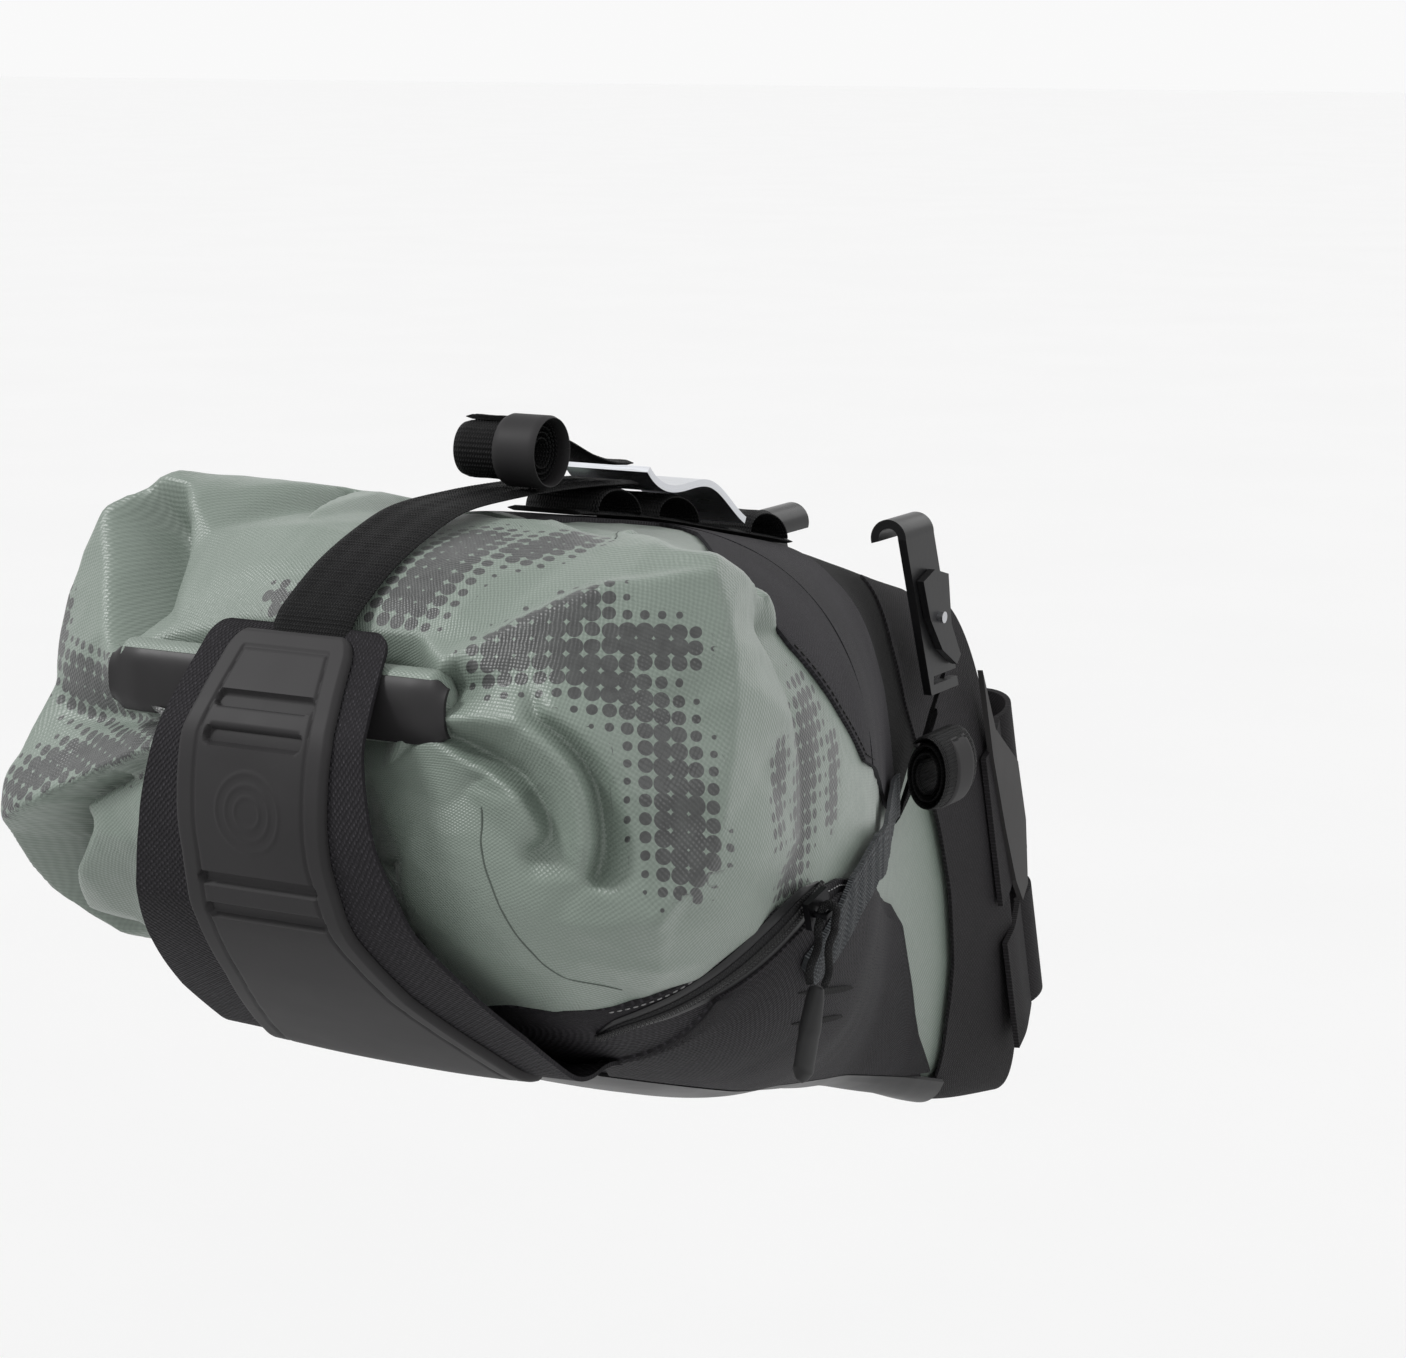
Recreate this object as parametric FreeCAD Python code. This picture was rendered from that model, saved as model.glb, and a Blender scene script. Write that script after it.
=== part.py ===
import FreeCAD, Part
import math
import os
from functools import lru_cache

# Saddle bag: a roll-top dry bag held in a harness behind a bicycle saddle.
# Millimetres. +Z is up, +Y is the direction of travel, +X is the rider's right.
# The origin is on the seatpost's axis, at the middle of the strap collar.

Vec = FreeCAD.Vector
X_AXIS = Vec(1, 0, 0)
Y_AXIS = Vec(0, 1, 0)
Z_AXIS = Vec(0, 0, 1)
ORIGIN = Vec(0, 0, 0)

# ---- driving dimensions -------------------------------------------------
POST_TILT_DEG = 16.5        # the seatpost leans back by this much
POST_RADIUS = 13.6          # 27.2 mm seatpost
RAIL_RADIUS = 3.6           # 7 mm saddle rail with a little room
RAIL_CENTRE = Vec(24, -125, 133)

FABRIC = 1.2                # laminated harness fabric
WEBBING = 1.5               # 25 mm webbing
SKIN_GAP = 0.4              # clearance between one layer and the next
WIDE_WEBBING = 25.0
SIDE_WEBBING = 20.0
CLEARANCE = 0.4

SUPERELLIPSE_POWER = 2.7
SECTION_POINTS = 28

# Dry bag sections: (y, half width, lowest z, highest z)
DRY_BAG_STATIONS = [
    (15, 17, -104, 80),
    (-50, 19, -90, 97),
    (-100, 20.5, -72, 111),
    (-140, 27, -58, 123),
    (-180, 43, -47, 134),
    (-230, 66, -33, 145),
    (-290, 91, -17, 157),
    (-345, 101, 4, 164),
    (-385, 102, 23, 165),
    (-410, 104, 41, 157),
    (-428, 105, 60, 141),
]

# The bag's front end is cut flat, parallel to the seatpost
BAG_FRONT = -27.0           # distance behind the post's axis
STIFFENER_FRONT = -25.0
NOSE_WEB_BACK = -24.6
NOSE_WEB_FRONT = -21.6
NOSE_BACK = -84.0
NOSE_LOW = -112.0
NOSE_HIGH = 150.0

# Folded corners of the roll-top, on the right side; the left is its mirror
EAR_ROLL_END = Vec(50, -432, 128)
EAR_CREST = Vec(98, -400, 166)
EAR_TIP = Vec(110, -430, 80)
EAR_ROOT = Vec(62, -372, 118)

ROLL_HALF_LENGTH = 57.0
ROLL_CENTRE = (-436.0, 129.0)
ROLL_THICKNESS = 13.0
ROLL_HEIGHT = 21.0
STIFFENER_THICKNESS = 1.2   # strip along the face of the roll
STIFFENER_SPAN = (-55.0, 46.0)
STIFFENER_BELOW = 8.0       # how far the strip reaches below the roll's middle
INNER_STRIP = (50.0, 1.0, 6.0)   # half sizes of the strip rolled up inside
INNER_STRIP_ROOM = 0.3

# Inner face of the rear tongue, from its top edge down to the fold: (y, z)
TONGUE_PROFILE = [
    (-434, 147), (-441, 139), (-450, 128), (-456, 118), (-458, 99),
    (-454, 81), (-449, 70), (-434, 53), (-417, 38), (-396, 22), (-387, 16.5),
]
TONGUE_CENTRE_X = -3.0
# Half width of the tongue against height: (z, half width)
TONGUE_WIDTHS = [(149, 28), (141, 29), (120, 33), (95, 38), (72, 45), (60, 50), (38, 57), (8, 60)]
PAD_WIDTHS = [(146, 17), (140, 20), (120, 24), (90, 24), (70, 26), (50, 31), (30, 40), (8, 48)]
TONGUE_HINGE = Vec(0, -387, 11.0)
PAD_THICKNESS = 2.2
PAD_SLOT = 3.4
PAD_SLOT_ROWS = [(128, 31), (120, 31), (83, 38), (74, 39)]

# Underside of the compression strap, from the tongue over the crest to the hook: (y, z)
STRAP_PROFILE = [(-434, 149.3), (-414, 160.5), (-396, 167.2), (-378, 171.3), (-353, 171.8),
                 (-331, 171.4), (-309, 170.2), (-284, 168.0)]
# Underside of the strap hook: (y, z)
TOP_HOOK_PROFILE = [(-282, 172.0), (-260, 163.6), (-244, 163.0), (-226, 152.0), (-220.5, 148.6)]
TOP_HOOK_WIDTH = 29.0
TOP_HOOK_THICKNESS = 2.2
TOP_HOOK_HINGE = Vec(0, -283, 169)
COIL_CENTRE = (-339.0, 184.4)
COIL_RADIUS = 9.0

RAIL_PLATE_THICKNESS = 3.0
RAIL_PLATE_WIDTH = 22.0
RAIL_PLATE_FOOT = (-103.0, 76.0)   # (y, z) of the plate's lower edge
LEVER_PIVOT = Vec(29, -115, 104)
LEVER_THICKNESS = 2.6
LEVER_PIN_RADIUS = 2.0
LEVER_PIN_LENGTH = 9.4
LEVER_OUTLINE = [(-128, 118), (-119, 121), (-108, 118), (-105, 100), (-97, 88), (-100, 85), (-112, 92),
                 (-122, 104)]
RAIL_STRAP_COIL = Vec(42, -130, 56)
COIL_BORE = 2.2             # radius left open in the middle of a rolled strap
KEEPER_GAP = 0.2
KEEPER_WALL = 1.4
KEEPER_LENGTH = 14.0

# Straps round the seatpost, in the post's own frame: low and high along the post
UPPER_STRAP_SPAN = (-8.0, 54.0)
LOWER_STRAP_SPAN = (-70.0, -24.0)
STRAP_THICKNESS = 2.0
STRAP_HINGE = (22.4, -38.0)         # (x, y) in the post's frame
STRAP_FREE_END = (-24.5, -28.0)

ZIP_FRONT = Vec(104.2, -343, 67)
ZIP_REAR = Vec(99.5, -385, 53)
ZIP_BAR_HEIGHT = 8.4
ZIP_TAPE_HALF = 8.0
ZIP_TEETH_HALF = 2.2
PULL_CORD_RADIUS = 1.2
PULL_CORD_BEND = 2.3
PULL_CORD_LENGTH = 20.0
GRIP_OUTLINE = [(-3.2, 0), (3.2, 0), (5.4, -8), (5.4, -22), (2.6, -27), (-2.6, -27), (-5.4, -22), (-5.4, -8)]
GRIP_THICKNESS = 4.8


# ---- general helpers ----------------------------------------------------
def export(name, shape):
    shape.exportStep("parts/" + name + ".step")


def mirrored(shape):
    return shape.mirror(ORIGIN, X_AXIS)


def post_frame(shape):
    """Lean a shape that was built round an upright post."""
    leaned = shape.copy()
    leaned.rotate(ORIGIN, X_AXIS, POST_TILT_DEG)
    return leaned


def box(x_range, y_range, z_range):
    size = [high - low for low, high in (x_range, y_range, z_range)]
    return Part.makeBox(size[0], size[1], size[2], Vec(x_range[0], y_range[0], z_range[0]))


def centred_box(half_sizes, y, z):
    """A box about a point on the middle plane, from its half sizes."""
    half_x, half_y, half_z = half_sizes
    return box((-half_x, half_x), (y - half_y, y + half_y), (z - half_z, z + half_z))


def spline_edge(points, closed=False):
    curve = Part.BSplineCurve()
    curve.interpolate(Points=points, PeriodicFlag=closed)
    return curve.toShape()


def prism(points, direction):
    """Extrude a closed polygon."""
    return Part.Face(Part.makePolygon(points + [points[0]])).extrude(direction)


def side_prism(outline, x_low, x_high):
    """Extrude a (y, z) polygon along X."""
    return prism([Vec(x_low, y, z) for y, z in outline], Vec(x_high - x_low, 0, 0))


def plan_prism(outline):
    """Extrude an (x, y) polygon upwards, past the whole bag."""
    return prism([Vec(x, y, -150) for x, y in outline], Vec(0, 0, 400))


def front_prism(outline):
    """Extrude an (x, z) polygon along Y, past the whole bag."""
    return prism([Vec(x, -500, z) for x, z in outline], Vec(0, 600, 0))


def offset_profile(points, distance):
    """Points at a distance to the outer side of a (y, z) line that runs with the bag on its left."""
    curve = Part.BSplineCurve()
    curve.interpolate([Vec(0, y, z) for y, z in points])
    first, last = curve.FirstParameter, curve.LastParameter
    samples = 2 * len(points)
    result = []
    for i in range(samples + 1):
        parameter = first + (last - first) * i / samples
        tangent = curve.tangent(parameter)[0]
        result.append(curve.value(parameter) + Vec(0, tangent.z, -tangent.y) * distance)
    return result


def ribbon(points, near, far, half_width, centre_x=0.0):
    """A band of constant thickness that follows a (y, z) line, extruded along X."""
    inner = offset_profile(points, near)
    outer = offset_profile(points, far)
    start = Part.LineSegment(inner[0], outer[0]).toShape()
    end = Part.LineSegment(outer[-1], inner[-1]).toShape()
    wire = Part.Wire([start, spline_edge(outer), end, spline_edge(inner)])
    solid = Part.Face(wire).extrude(Vec(2 * half_width, 0, 0))
    solid.translate(Vec(centre_x - half_width, 0, 0))
    return solid


def tube_along_x(outer, inner, y, z, x_low, x_high):
    """A ring or coil whose axis lies along X."""
    length = x_high - x_low
    solid = Part.makeCylinder(outer, length, Vec(x_low, y, z), X_AXIS)
    return solid.cut(Part.makeCylinder(inner, length, Vec(x_low, y, z), X_AXIS))


def tapered_outline(widths, centre_x):
    """A left-right symmetric (x, z) polygon from its half widths."""
    right = [(centre_x + half, z) for z, half in widths]
    left = [(centre_x - half, z) for z, half in reversed(widths)]
    return right + left


# ---- the dry bag's form and the skins on it ------------------------------
def section(station, offset):
    """One closed superellipse section of the dry bag, grown by an offset."""
    y, half_width, low, high = station
    middle = (low + high) / 2
    half_height = (high - low) / 2 + offset
    power = 2 / SUPERELLIPSE_POWER
    points = []
    for i in range(SECTION_POINTS):
        angle = 2 * math.pi * i / SECTION_POINTS
        c, s = math.cos(angle), math.sin(angle)
        x = math.copysign(abs(c) ** power, c) * (half_width + offset)
        z = math.copysign(abs(s) ** power, s) * half_height + middle
        points.append(Vec(x, y, z))
    return Part.Wire([spline_edge(points, closed=True)])


@lru_cache(maxsize=None)
def bag_form(offset):
    """The dry bag's loft, grown by an offset on its sides and at its tail."""
    tail = DRY_BAG_STATIONS[-1]
    stations = DRY_BAG_STATIONS[:-1] + [(tail[0] - offset,) + tail[1:]]
    return Part.makeLoft([section(station, offset) for station in stations], True, False)


def post_block(y_low, y_high, z_low=-300.0, z_high=300.0):
    """A big block in the post's frame, for cutting parallel to the post."""
    return post_frame(box((-200, 200), (y_low, y_high), (z_low, z_high)))


def ear():
    """The folded corner of the roll-top: a four-cornered wedge."""
    a, b, c, d = EAR_ROLL_END, EAR_CREST, EAR_TIP, EAR_ROOT
    faces = [Part.Face(Part.makePolygon(list(loop) + [loop[0]]))
             for loop in ((a, b, c), (a, d, b), (b, d, c), (c, d, a))]
    return Part.Solid(Part.Shell(faces))


@lru_cache(maxsize=None)
def layer_form(inner, outer):
    return bag_form(outer).cut(bag_form(inner))


def skin(inner, outer, *cutters):
    """A layer on the bag between two offsets, trimmed to the common part of some outlines."""
    layer = layer_form(inner, outer)
    for cutter in cutters:
        layer = layer.common(cutter)
    return layer


LAYER_1 = (SKIN_GAP, SKIN_GAP + FABRIC)
LAYER_2 = (LAYER_1[1] + SKIN_GAP, LAYER_1[1] + SKIN_GAP + FABRIC)
LAYER_3 = (LAYER_2[1] + SKIN_GAP, LAYER_2[1] + SKIN_GAP + WEBBING)

# Side view lines shared by neighbouring panels: (y, z)
BASE_TOP_LINE = [(-445, 44), (-428, 44), (-405, 46), (-394, 56), (-382, 64), (-352, 68), (-322, 66),
                 (-298, 60), (-225, 36), (-140, 8), (-122, -4), (-106, -30), (-78, -66), (-70, -110)]
GUARD_TOP_LINE = [(-392, 27), (-356, 11), (-293, -10), (-217, -32), (-149, -50), (-96, -66), (-40, -84)]
BELOW = -140


def roll_closure_parts():
    y, z = ROLL_CENTRE
    radius = ROLL_THICKNESS / 2
    half_flat = ROLL_HEIGHT / 2 - radius
    x_range = (-ROLL_HALF_LENGTH, ROLL_HALF_LENGTH)
    length = 2 * ROLL_HALF_LENGTH
    roll = box(x_range, (y - radius, y + radius), (z - half_flat, z + half_flat))
    for end in (z - half_flat, z + half_flat):
        roll = roll.fuse(Part.makeCylinder(radius, length, Vec(-ROLL_HALF_LENGTH, y, end), X_AXIS))
    roll = roll.removeSplitter()
    inner = centred_box(INNER_STRIP, y, z)
    pocket = centred_box([half + INNER_STRIP_ROOM for half in INNER_STRIP], y, z)
    back = y - radius - CLEARANCE
    outer = box(STIFFENER_SPAN, (back - STIFFENER_THICKNESS, back), (z - STIFFENER_BELOW, z + half_flat + 1))
    return roll.cut(pocket), inner, outer


def dry_bag_shell():
    bag = bag_form(0.0)
    bag = bag.fuse([ear(), mirrored(ear())])
    y, z = ROLL_CENTRE
    depth = ROLL_THICKNESS / 2 + CLEARANCE
    height = ROLL_HEIGHT / 2 + CLEARANCE
    bag = bag.cut(box((-58, 58), (y - 30, y + depth), (z - height, z + height)))
    return bag.cut(post_block(BAG_FRONT, 200))


def holster_base():
    outline = BASE_TOP_LINE + [(-70, BELOW), (-445, BELOW)]
    return skin(*LAYER_1, side_prism(outline, -150, 150), post_block(-600, NOSE_BACK - CLEARANCE))


def bottom_guard():
    outline = GUARD_TOP_LINE + [(-40, BELOW), (-392, BELOW)]
    return skin(*LAYER_2, side_prism(outline, -150, 150), post_block(-600, NOSE_BACK - CLEARANCE))


def side_patch():
    """Front face of the zipped side pocket; its lower edge meets the bottom guard."""
    lower = [(y, z + CLEARANCE) for y, z in GUARD_TOP_LINE if -370 < y < -90]
    upper = [(-110, -34), (-126, -6), (-142, 5), (-225, 33), (-296, 57), (-322, 63)]
    rear = [(-334, 62), (-380, 46), (-372, 20)]
    return skin(*LAYER_2, side_prism(lower + upper + rear, 0, 150))


def zip_parts():
    """Coil zip along the rear of the pocket mouth, with its slider and pull."""
    run = ZIP_REAR - ZIP_FRONT
    length = run.Length
    along = run.normalize()
    outward = Vec(1, 0, 0)
    outward = (outward - along * outward.dot(along)).normalize()
    across = outward.cross(along)
    frame = FreeCAD.Matrix(along.x, across.x, outward.x, ZIP_FRONT.x,
                           along.y, across.y, outward.y, ZIP_FRONT.y,
                           along.z, across.z, outward.z, ZIP_FRONT.z,
                           0, 0, 0, 1)

    def local_box(s_range, t_range, n_range):
        block = box(s_range, t_range, n_range)
        block.Placement = FreeCAD.Placement(frame).multiply(block.Placement)
        return block

    tape = local_box((-4, length + 4), (-ZIP_TAPE_HALF, ZIP_TAPE_HALF), (0.2, 0.9))
    teeth = local_box((0, length), (-ZIP_TEETH_HALF, ZIP_TEETH_HALF), (1.1, 2.4))
    body = local_box((2, 12), (-4.2, 4.2), (2.6, 4.6))
    posts = [local_box((s, s + 1.2), (-0.7, 0.7), (4.6, ZIP_BAR_HEIGHT)) for s in (4.0, 9.2)]
    bar = local_box((4.0, 10.4), (-0.7, 0.7), (ZIP_BAR_HEIGHT - 0.6, ZIP_BAR_HEIGHT + 0.6))
    slider = body.fuse(posts + [bar]).removeSplitter()
    return tape, teeth, slider, ZIP_FRONT + along * 7.2 + outward * ZIP_BAR_HEIGHT


def zip_pull(crown):
    """Cord loop and moulded grip that hang from the bar on the slider."""
    left, right = crown - X_AXIS * PULL_CORD_BEND, crown + X_AXIS * PULL_CORD_BEND
    drop = Z_AXIS * PULL_CORD_LENGTH
    path = Part.Wire([Part.LineSegment(left - drop, left).toShape(),
                      Part.Arc(left, crown + Z_AXIS * PULL_CORD_BEND, right).toShape(),
                      Part.LineSegment(right, right - drop).toShape()])
    ring = Part.Wire([Part.makeCircle(PULL_CORD_RADIUS, left - drop, Z_AXIS)])
    cord = path.makePipeShell([ring], True, False)
    grip_top = crown.z - PULL_CORD_LENGTH - CLEARANCE
    points = [Vec(crown.x - GRIP_THICKNESS / 2, crown.y + y, grip_top + z) for y, z in GRIP_OUTLINE]
    grip = prism(points, Vec(GRIP_THICKNESS, 0, 0))
    return cord, grip


# ---- the harness at the seatpost -----------------------------------------
def nose_panel():
    back = post_block(NOSE_BACK, NOSE_WEB_FRONT, NOSE_LOW, NOSE_HIGH)
    outer = bag_form(LAYER_1[1]).common(back)
    hollow = bag_form(LAYER_1[0]).common(post_block(-600, NOSE_WEB_BACK))
    return outer.cut(hollow)


def nose_stiffener():
    """Flat board between the bag's front and the nose panel's web."""
    return bag_form(-3.0).common(post_block(BAG_FRONT + CLEARANCE, STIFFENER_FRONT, -100, 84))


def strap_path(thickness_offset):
    """Edges, in the post's frame, of one face of a strap that wraps the front of the post."""
    radius = POST_RADIUS + thickness_offset
    ends = []
    for anchor, turn in ((STRAP_HINGE, 1), (STRAP_FREE_END, -1)):
        distance = math.hypot(*anchor)
        direction = math.atan2(anchor[1], anchor[0])
        tangent_angle = direction + turn * math.acos(radius / distance)
        contact = Vec(radius * math.cos(tangent_angle), radius * math.sin(tangent_angle), 0)
        run = (Vec(anchor[0], anchor[1], 0) - contact).normalize()
        length = math.sqrt(distance ** 2 - radius ** 2)
        ends.append((contact, contact + run * length))
    right, left = ends
    edges = [Part.LineSegment(right[1], right[0]).toShape(),
             Part.Arc(right[0], Vec(0, radius, 0), left[0]).toShape(),
             Part.LineSegment(left[0], left[1]).toShape()]
    return edges, right[1], left[1]


def post_strap(span):
    inner, inner_right, inner_left = strap_path(0.0)
    outer, outer_right, outer_left = strap_path(STRAP_THICKNESS)
    caps = [Part.LineSegment(inner_left, outer_left).toShape(),
            Part.LineSegment(outer_right, inner_right).toShape()]
    wire = Part.Wire(Part.__sortEdges__(inner + outer + caps))
    strap = Part.Face(wire).extrude(Vec(0, 0, span[1] - span[0]))
    strap.translate(Vec(0, 0, span[0]))
    return post_frame(strap)


def strap_tab():
    """Rubber pull tab on the right-hand run of the upper strap."""
    edges, start, _ = strap_path(STRAP_THICKNESS)
    near, far = sorted((vertex.Point for vertex in edges[0].Vertexes), key=lambda point: point.y)
    along = (far - near).normalize()
    outward = Vec(along.y, -along.x, 0)
    outline = [(4, 88), (12, 60), (36, 34), (38, 8), (31, -16), (22, -18), (16, -6), (10, 20), (5, 52)]
    base = start + outward * CLEARANCE
    points = [base + along * s + Vec(0, 0, z) for s, z in outline]
    return post_frame(prism(points, outward * 2.0))


# ---- rail hooks ------------------------------------------------------------
def rail_hook():
    """Claw over the saddle rail on a flat plate that ends in a webbing bar."""
    y, z = RAIL_CENTRE.y, RAIL_CENTRE.z
    half = RAIL_PLATE_WIDTH / 2
    outer = RAIL_RADIUS + RAIL_PLATE_THICKNESS
    start = Vec(RAIL_CENTRE.x, y - half, z)
    claw = Part.makeCylinder(outer, RAIL_PLATE_WIDTH, start, Y_AXIS)
    claw = claw.cut(Part.makeCylinder(RAIL_RADIUS, RAIL_PLATE_WIDTH, start, Y_AXIS))
    mouth = [Vec(RAIL_CENTRE.x, y - half, z), Vec(RAIL_CENTRE.x + outer * 2, y - half, z),
             Vec(RAIL_CENTRE.x + outer * 2, y - half, z - outer * 2),
             Vec(RAIL_CENTRE.x - outer * 2, y - half, z - outer * 2),
             Vec(RAIL_CENTRE.x - outer * 2, y - half, z - outer * 0.6)]
    claw = claw.cut(prism(mouth, Vec(0, RAIL_PLATE_WIDTH, 0)))
    foot_y, foot_z = RAIL_PLATE_FOOT
    inside = RAIL_CENTRE.x + RAIL_RADIUS
    outline = [(y - half, z), (y + half, z), (foot_y + half, foot_z), (foot_y - half, foot_z)]
    plate = side_prism(outline, inside, inside + RAIL_PLATE_THICKNESS)
    slot = box((0, 100), (foot_y - half + 1.5, foot_y + half - 0.5), (foot_z + 3.5, foot_z + 6.5))
    pin_hole = Part.makeCylinder(LEVER_PIN_RADIUS + 0.05, 20, LEVER_PIVOT - X_AXIS * 10, X_AXIS)
    return claw.fuse(plate).removeSplitter().cut(slot).cut(pin_hole)


def lever_parts():
    """Locking lever on the hook plate, on a pin through it."""
    pin_low = RAIL_CENTRE.x + RAIL_RADIUS - 1.4
    pin_start = Vec(pin_low, LEVER_PIVOT.y, LEVER_PIVOT.z)
    pin = Part.makeCylinder(LEVER_PIN_RADIUS, LEVER_PIN_LENGTH, pin_start, X_AXIS)
    face = RAIL_CENTRE.x + RAIL_RADIUS + RAIL_PLATE_THICKNESS + CLEARANCE
    lever = side_prism(LEVER_OUTLINE, face, face + LEVER_THICKNESS)
    hole = Part.makeCylinder(LEVER_PIN_RADIUS, 20, LEVER_PIVOT - X_AXIS * 10, X_AXIS)
    return lever.cut(hole), pin


def rail_strap_parts():
    """Loose end of the rail strap: a rolled coil and the rubber keeper round it."""
    c = RAIL_STRAP_COIL
    length = WIDE_WEBBING
    start = c - Y_AXIS * (length / 2)
    coil = Part.makeCylinder(COIL_RADIUS, length, start, Y_AXIS)
    coil = coil.cut(Part.makeCylinder(COIL_BORE, length, start, Y_AXIS))
    start = c - Y_AXIS * (KEEPER_LENGTH / 2)
    bore = COIL_RADIUS + KEEPER_GAP
    keeper = Part.makeCylinder(bore + KEEPER_WALL, KEEPER_LENGTH, start, Y_AXIS)
    keeper = keeper.cut(Part.makeCylinder(bore, KEEPER_LENGTH, start, Y_AXIS))
    return coil, keeper


def hook_webbing():
    """Webbing from below the hook plate back to the side strap."""
    x = RAIL_CENTRE.x + RAIL_RADIUS + RAIL_PLATE_THICKNESS / 2
    outline = [(-113, 74.8), (-94, 74.8), (-97, 62), (-119, 42), (-138, 42), (-122, 60)]
    return side_prism(outline, x - WEBBING / 2, x + WEBBING / 2)


def side_strap():
    outline = [(-141, 54), (-190, 58), (-287, 72), (-318, 66), (-346, 49), (-334, 32), (-306, 47),
               (-285, 52), (-190, 38), (-141, 34)]
    return skin(*LAYER_3, side_prism(outline, 0, 150))


# ---- top of the harness ----------------------------------------------------
def top_collar():
    plan = [(-15, -374), (15, -374), (16, -275), (32, -284), (56, -317), (78, -336), (150, -345),
            (150, 60), (-150, 60), (-150, -345), (-78, -336), (-56, -317), (-32, -284), (-16, -275)]
    side = [(-400, 200), (-400, 150), (-334, 144), (-331, 132), (-309, 110), (-287, 92), (-192, 60),
            (-130, 36), (-100, 60), (0, 60), (0, 200)]
    return skin(*LAYER_1, plan_prism(plan), side_prism(side, -150, 150),
                post_block(-600, NOSE_BACK - CLEARANCE))


LOOP_STATIONS = [-295, -259, -200]
LOOP_LENGTH = 26.0
LOOP_RISE = 8.2


def daisy_chain():
    """Webbing along the crest, with a row of raised loops."""
    half = WIDE_WEBBING / 2
    near, far = LAYER_2[0], LAYER_2[0] + WEBBING
    strip = skin(near, far, box((-half, half), (-318, -184), (60, 220)))
    for y in LOOP_STATIONS:
        base_z = bag_crest(y) + far - 0.4
        slope = math.degrees(math.atan2(bag_crest(y + 5) - bag_crest(y - 5), 10))
        outer = half_ellipse(LOOP_LENGTH / 2, LOOP_RISE, half)
        inner = half_ellipse(LOOP_LENGTH / 2 - WEBBING, LOOP_RISE - WEBBING, half + 1)
        loop = outer.cut(inner)
        loop.rotate(ORIGIN, X_AXIS, slope)
        loop.translate(Vec(0, y, base_z))
        strip = strip.fuse(loop)
    return strip.removeSplitter()


def half_ellipse(half_length, rise, half_width):
    """An arch, extruded along X, that stands on the XY plane."""
    ellipse = Part.Ellipse(ORIGIN, half_length, rise)
    edge = ellipse.toShape(0, math.pi)
    arch = Part.Wire([edge, Part.LineSegment(Vec(-half_length, 0, 0), Vec(half_length, 0, 0)).toShape()])
    solid = Part.Face(arch).extrude(Vec(0, 0, 2 * half_width))
    solid.rotate(ORIGIN, X_AXIS, 90)
    solid.rotate(ORIGIN, Z_AXIS, 90)
    solid.translate(Vec(-half_width, 0, 0) if solid.BoundBox.XMin > -0.1 else Vec(half_width, 0, 0))
    return solid


def bag_crest(y):
    """Height of the bag's top line at a station, by straight interpolation."""
    for front, rear in zip(DRY_BAG_STATIONS, DRY_BAG_STATIONS[1:]):
        if rear[0] <= y <= front[0]:
            share = (front[0] - y) / (front[0] - rear[0])
            return front[3] + share * (rear[3] - front[3])
    raise ValueError("station outside the bag")


# ---- the rear tongue -------------------------------------------------------
def tongue_panel():
    band = ribbon(TONGUE_PROFILE, 0.0, FABRIC, 70)
    return band.common(front_prism(tapered_outline(TONGUE_WIDTHS, TONGUE_CENTRE_X)))


def tongue_pad():
    near = FABRIC + CLEARANCE
    band = ribbon(TONGUE_PROFILE, near, near + PAD_THICKNESS, 70)
    pad = band.common(front_prism(tapered_outline(PAD_WIDTHS, TONGUE_CENTRE_X)))
    for z, width in PAD_SLOT_ROWS:
        x_range = (TONGUE_CENTRE_X - width / 2, TONGUE_CENTRE_X + width / 2)
        pad = pad.cut(box(x_range, (-480, -430), (z - PAD_SLOT / 2, z + PAD_SLOT / 2)))
    return pad


def main():
    os.makedirs("parts", exist_ok=True)
    export("dry_bag_shell", dry_bag_shell())
    roll, stiffener_inner, stiffener_outer = roll_closure_parts()
    export("roll_closure", roll)
    export("closure_stiffener_inner", stiffener_inner)
    export("closure_stiffener_outer", stiffener_outer)
    export("holster_base", holster_base())
    export("bottom_guard", bottom_guard())
    export("nose_panel", nose_panel())
    export("nose_stiffener", nose_stiffener())
    export("top_collar", top_collar())
    export("daisy_chain", daisy_chain())

    tape, teeth, slider, bar_centre = zip_parts()
    cord, grip = zip_pull(bar_centre)
    export("zip_tape", tape)
    export("zip_teeth", teeth)
    export("zip_slider", slider)
    export("zip_pull_cord", cord)
    export("zip_pull_grip", grip)

    lever, pin = lever_parts()
    coil, keeper = rail_strap_parts()
    handed = {
        "side_patch": side_patch(),
        "side_strap": side_strap(),
        "rail_hook": rail_hook(),
        "hook_lever": lever,
        "lever_pin": pin,
        "hook_webbing": hook_webbing(),
        "rail_strap_coil": coil,
        "rail_strap_keeper": keeper,
    }
    for name, shape in handed.items():
        export("right_" + name, shape)
        export("left_" + name, mirrored(shape))

    export("tongue_panel", tongue_panel())
    export("tongue_pad", tongue_pad())
    half = WIDE_WEBBING / 2
    export("compression_strap", ribbon(STRAP_PROFILE, -WEBBING, 0, half))
    y, z = COIL_CENTRE
    export("strap_coil", tube_along_x(COIL_RADIUS, COIL_BORE, y, z, -half, half))
    bore = COIL_RADIUS + KEEPER_GAP
    export("strap_keeper", tube_along_x(bore + KEEPER_WALL, bore, y, z, 2, 2 + KEEPER_LENGTH))
    export("top_hook", ribbon(TOP_HOOK_PROFILE, -TOP_HOOK_THICKNESS, 0, TOP_HOOK_WIDTH / 2))

    export("upper_post_strap", post_strap(UPPER_STRAP_SPAN))
    export("upper_strap_tab", strap_tab())
    export("lower_post_strap", post_strap(LOWER_STRAP_SPAN))


main()
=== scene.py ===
import math

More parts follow.
